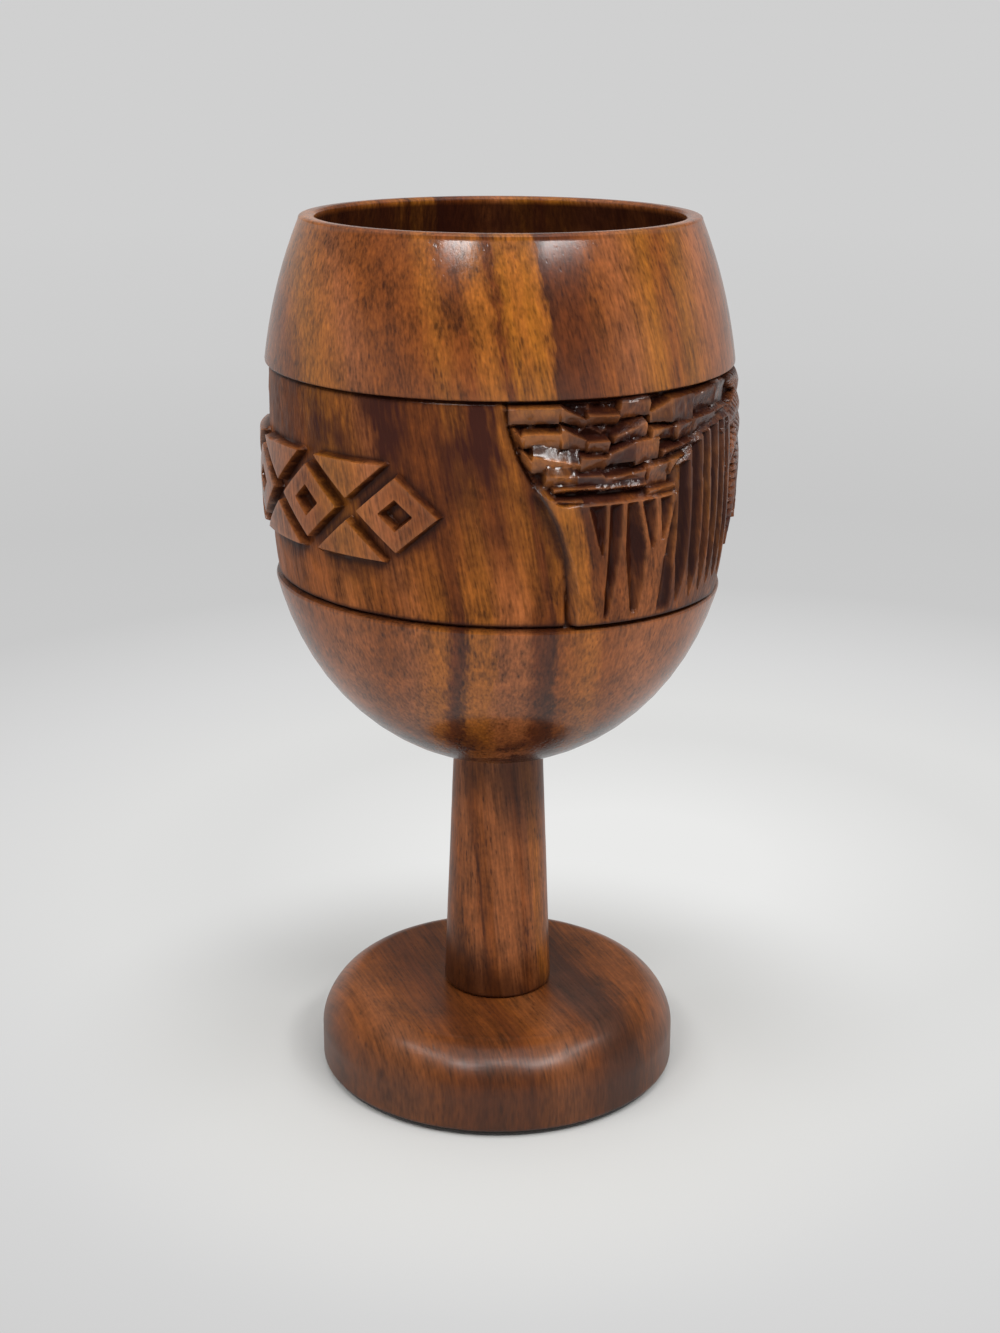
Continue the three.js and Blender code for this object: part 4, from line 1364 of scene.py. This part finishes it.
# painted highlight on ridges and convex edges, along with real wear
crest = in_panel * smooth_between(blurred(depth, 3) - depth, 0.05, 0.25) * (0.6 + 0.4 * facets(1.5, 15))
worn = strongest(smooth_between(-hollowness, 0.15, 0.8) * mix(0.3, 0.6, in_panel), 0.7 * crest)
worn *= 1 - 0.7 * in_panel * smooth_between(from_end, 38, 46)
worn = strongest(worn, in_panel * chip_worn_and_highlight * (0.8 + 0.3 * facets(1.5, 17)))
on_grove = in_panel * off_cuts * mix(0.45, 1.0, smooth_between(up, 137, 141))
on_grove *= smooth_between(depth, 1.7, 0.7)
plain_face = off_panel * smooth_between(depth, 0.4, 0.0)
lacquer = mix(THIN_COAT, FULL_COAT, plain_face) + (FULL_COAT - THIN_COAT) * on_grove

# %% [markdown]
# The bowl is one closed mesh, built ring by ring: from the socket in its underside, out and up the
# outside, over the lip and down the inside. The band's rings have all 732 columns. The plain parts
# above and below need a quarter as many, and two neighbouring rings may differ by a factor of two,
# so a ring with half of the columns comes between. Each square of the band is split along the
# diagonal that bends less, which keeps ridges sharp.

# %% Rings of the bowl
GROOVE_DEPTH = 0.8
# of each ring: how far from the band's edge, how deep, and how dark with stain and painted shadow
GROOVE_RINGS = ((2.1, 0.0, 0.0), (1.6, 0.02, 0.05), (1.1, 0.3, 0.5))
COLLAR_RINGS = ((0.03, 0.7, 1.0), (0.12, 0.3, 0.8), (0.32, 0.08, 0.2), (0.7, 0.0, 0.0), (1.6, 0.0, 0.0))
GROOVE_FLOOR_DOWN = 0.6
HALF_RING_AWAY = 3.9
UNDERSIDE_TO = 4.2
COLLAR_FROM = 5.0
# painted shade inside the cup and on the underside near the stem
CUP_SHADE = 0.9
UNDERSIDE_SHADE = 1.5
SHADE_OVER_SEAT = (20, 7)
CUP_DARK_SHADE = 0.7
LIP_ROUND = 0.9
LIP_SQUARENESS = 0.7
half_columns, quarter_columns = azimuths[::2], azimuths[::4]
ring_values = {"stain": {}, "wash": {}}


def lay(made, azimuth, radius, z, **values):
    """Adds a ring of points, and notes its stain and wash values, which also paint shade."""
    for name, value in values.items():
        ring_values[name][len(made)] = value
    a = np.radians(azimuth)
    radius, z = np.broadcast_to(radius, a.shape), np.broadcast_to(z, a.shape)
    made.append(np.stack([radius * np.sin(a), -radius * np.cos(a), z], -1))


def rings():
    """The rings in order, each an array of points in millimetres."""
    made = []
    socket = BOWL_TENON[0] + GLUE_GAP
    for radius, z in ((0, socket_end), (socket, socket_end), (socket, seat), (SEAT_RADIUS - 1, seat)):
        lay(made, quarter_columns, radius, z)
    for _, cosine in quarter(13):
        z = mix(seat, GROOVE_TOP - UNDERSIDE_TO, 1 - cosine)
        # painted shade on the underside, darkest next to the stem
        near_stem = smooth_between(z - seat, *SHADE_OVER_SEAT)
        lay(made, quarter_columns, blank(z), z, wash=UNDERSIDE_SHADE * near_stem)
    lay(made, half_columns, blank(GROOVE_TOP - HALF_RING_AWAY), GROOVE_TOP - HALF_RING_AWAY)
    edge = lower_edge(azimuths)
    # painted shadow along the groove
    for down, under, dark in GROOVE_RINGS:
        lay(made, azimuths, blank(edge - down) - under, edge - down, stain=dark)
    lay(made, azimuths, blank(edge) - GROUND_EDGE - GROOVE_DEPTH, edge - GROOVE_FLOOR_DOWN, stain=1.0)
    for row_az, row_up, row_depth in zip(az, up, depth):
        lay(made, row_az, blank(row_up) - row_depth, row_up)
    edge = upper_edge(azimuths)
    # painted shadow under the collar's edge
    for over, under, dark in COLLAR_RINGS:
        lay(made, azimuths, blank(edge + over) - under, edge + over, stain=dark)
    lay(made, half_columns, blank(COLLAR_EDGE + HALF_RING_AWAY), COLLAR_EDGE + HALF_RING_AWAY)
    lip = RIM - LIP_ROUND
    for z in [mix(COLLAR_EDGE + COLLAR_FROM, lip - LIP_ROUND / 2, t) for t in steps(8)] + [lip]:
        lay(made, quarter_columns, blank(z), z)
    middle, half_wall = (hollow(lip) + blank(lip)) / 2, (blank(lip) - hollow(lip)) / 2
    for t in steps(10)[1:]:
        out, over = math.cos(t * math.pi), math.sin(t * math.pi)
        out = math.copysign(abs(out) ** LIP_SQUARENESS, out)
        z = lip + LIP_ROUND * max(0, over) ** LIP_SQUARENESS
        lay(made, quarter_columns, middle + half_wall * out, z)
    inside = [lip - 1.0] + [mix(lip, BELLY, t) for t in steps(7)[1:]]
    inside += [mix(BELLY, INNER_FLOOR, sine) for sine, _ in quarter(11)[1:]]
    # painted shade inside the cup
    for z in inside:
        lay(made, quarter_columns, hollow(z), z, wash=CUP_SHADE, stain=CUP_DARK_SHADE)
    return made


def strip_between(first, second, start, end):
    """Triangles between two rings, given their points and the index of each one's first point."""
    n, m = len(first), len(second)
    if n == m:
        a = np.arange(n)
        b = (a + 1) % n
        low, high, low2, high2 = start + a, start + b, end + a, end + b
        one = np.linalg.norm(first[a] - second[b], axis=1)
        other = np.linalg.norm(first[b] - second[a], axis=1)
        short = (one <= other)[:, None]
        split = np.where(short, np.stack([low, high, high2], 1), np.stack([low, high, low2], 1))
        rest = np.where(short, np.stack([low, high2, low2], 1), np.stack([high, high2, low2], 1))
        return np.concatenate([split, rest])
    fine, coarse, flip = (start, end, False) if n > m else (end, start, True)
    count = min(n, m)
    k = np.arange(count)
    left, middle, right = fine + 2 * k, fine + 2 * k + 1, fine + (2 * k + 2) % (2 * count)
    here, there = coarse + k, coarse + (k + 1) % count
    corners = ((left, middle, here), (middle, right, there), (middle, there, here))
    made = np.concatenate([np.stack(three, 1) for three in corners])
    return made[:, ::-1] if flip else made


def bowl_mesh():
    made = rings()
    starts = np.cumsum([0] + [len(ring) for ring in made])
    triangles = [strip_between(a, b, s, e) for a, b, s, e in zip(made, made[1:], starts, starts[1:])]
    mesh = bpy.data.meshes.new("carved_bowl")
    mesh.from_pydata(np.concatenate(made) * MM, [], np.concatenate(triangles).tolist())
    groove_start = next(i for i, ring in enumerate(made) if len(ring) == azimuths.size)
    first = starts[groove_start + len(GROOVE_RINGS) + 1]
    for name, values in (("stain", stain), ("wash", wash), ("worn", worn), ("lacquer", lacquer)):
        all_round = np.full(starts[-1], FULL_COAT if name == "lacquer" else 0, np.float32)
        all_round[first : first + values.size] = values.ravel()
        for ring, value in ring_values.get(name, {}).items():
            all_round[starts[ring] : starts[ring + 1]] = value
        mesh.attributes.new(name, "FLOAT", "POINT").data.foreach_set("value", all_round)
    return mesh


SHARP_EDGE = 27
SAME_POINT = 0.002 * MM
bowl = new_object("carved_bowl", bowl_mesh())
mend_and_measure(bowl, SAME_POINT)
bowl.data.shade_smooth()
bowl.data.set_sharp_from_angle(angle=math.radians(SHARP_EDGE))
bowl.data.materials.append(carved_wood())
declare(bowl, "bowl")

# %% [markdown]
# The goblet stands on a plain pale floor. Round the goblet the floor is an ordinary matt surface, so
# it takes the soft shadow. Further out it turns, ring by ring, into the even grey of a studio
# backdrop. There its tone is given as light, through Light Path, to everything that looks at it, so
# it doesn't depend on how far the lamps reach. The tones go by the distance from the palest spot,
# which lies on the floor behind the stem and is a painted pool of light.
#
# The world is a pale studio too: pale at eye level, dimmer above that, and bright again overhead,
# with a dimmer opening at the front, where a light tent has its door. The dim parts are what the
# collar mirrors, and they keep the wood's colour deep. Five strip lamps stand on a high arc from
# the left round the front to the right. They give the broken sheen under the rim and along the
# foot's shoulder. A square softbox overhead lights the floor and the foot.

# %% Floor, backdrop and light
FLOOR_COLOUR = "#CCCCCA"
# painted pool of light: the palest tones lie round a spot on the floor behind the stem
BACKDROP_AND_LIGHT_POOL_TONES = [
    (0.04, "#EAEAE9"), (0.075, "#E3E3E2"), (0.11, "#DDDDDC"), (0.145, "#DEDEDD"), (0.2, "#D8D8D8"),
    (0.3, "#C9C9C9"), (0.45, "#C7C7C7"), (0.9, "#CDCDCD"), (1.8, "#D0D0D0"),
]
FLOOR_SIZE = 30.0
FLOOR_ENDS = (0.046, 0.115)
LIGHT_POOL_CENTRE = (0.035, 0.11, 0.0)
WORLD_TONES = [  # grey levels by height, from straight down to straight up
    (-1.0, 0.5), (0.0, 0.63), (0.17, 0.6), (0.34, 0.18), (0.52, 0.2), (0.68, 0.42), (0.82, 0.7), (1.0, 0.7),
]
OPEN_FRONT = (-0.45, -0.9)
OPEN_ABOVE = (0.08, 0.2)
FRONT_LEVEL = 0.35
STRIPS = [  # azimuth, elevation, width in metres, watts
    (-62, 47, 0.5, 1.6), (-25, 41.0, 0.22, 1.75), (7, 50, 0.4, 1.6), (38, 41.0, 0.34, 2.6),
    (70, 47, 0.5, 1.6),
]
STRIP_AWAY = 0.9
STRIP_HIGH = 0.1
LAMP_TARGET = Vector((0, 0, 0.12))


def floor_material():
    material, tree = new_material("matt painted board")
    here = add(tree, "TexCoord").outputs["Object"]
    rays = add(tree, "LightPath").outputs
    seen = add(tree, "Math.ADD", rays["Is Camera Ray"], rays["Is Glossy Ray"])
    seen = add(tree, "Math.ADD", seen, rays["Is Transmission Ray"], use_clamp=True)
    lit = add(tree, "BsdfPrincipled", {"Base Color": FLOOR_COLOUR, "Roughness": 0.9})
    tone = colour_ramp(tree, add(tree, "VectorMath.DISTANCE", here, LIGHT_POOL_CENTRE), BACKDROP_AND_LIGHT_POOL_TONES)
    glow = add(tree, "Emission", tone, 1.0)
    far = add(tree, "MapRange.SMOOTHSTEP", add(tree, "VectorMath.LENGTH", here), *FLOOR_ENDS)
    add(tree, "OutputMaterial", add(tree, "MixShader", add(tree, "Math.MULTIPLY", far, seen), lit, glow))
    return material


def make_floor():
    mesh = bpy.data.meshes.new("floor")
    corners = [(x * FLOOR_SIZE, y * FLOOR_SIZE, 0) for x, y in ((-1, -1), (1, -1), (1, 1), (-1, 1))]
    mesh.from_pydata(corners, [], [(0, 1, 2, 3)])
    mesh.materials.append(floor_material())
    new_object("floor", mesh)


def make_world():
    world = bpy.data.worlds.new("studio")
    bpy.context.scene.world = world
    world.use_nodes = True
    tree = world.node_tree
    tree.nodes.clear()
    direction = add(tree, "SeparateXYZ", add(tree, "TexCoord").outputs["Generated"]).outputs
    in_front = add(tree, "MapRange.SMOOTHSTEP", direction["Y"], *OPEN_FRONT)
    above = add(tree, "MapRange.SMOOTHSTEP", direction["Z"], *OPEN_ABOVE)
    opening = add(tree, "Math.MULTIPLY", in_front, above)
    strength = add(tree, "Math.MULTIPLY_ADD", opening, FRONT_LEVEL - 1, 1.0)
    tone = colour_ramp(tree, direction["Z"], WORLD_TONES)
    add(tree, "OutputWorld", add(tree, "Background", tone, strength))


def add_lamp(name, azimuth, elevation, distance, size, power):
    """A soft lamp of (width, height), placed by its direction from the goblet."""
    lamp = bpy.data.lights.new(name, "AREA")
    lamp.shape = "RECTANGLE"
    lamp.size, lamp.size_y = size
    lamp.energy = power
    a, e = math.radians(azimuth), math.radians(elevation)
    way = Vector((math.sin(a) * math.cos(e), -math.cos(a) * math.cos(e), math.sin(e)))
    obj = new_object(name, lamp)
    obj.location = LAMP_TARGET + way * distance
    obj.rotation_euler = (-way).to_track_quat("-Z", "Y").to_euler()


make_floor()
make_world()
for number, (azimuth, elevation, width, power) in enumerate(STRIPS):
    add_lamp(f"strip {number}", azimuth, elevation, STRIP_AWAY, (width, STRIP_HIGH), power)
add_lamp("overhead softbox", 0, 75, 1.0, (0.7, 0.7), 1.2)
bpy.context.scene.view_settings.view_transform = "Standard"
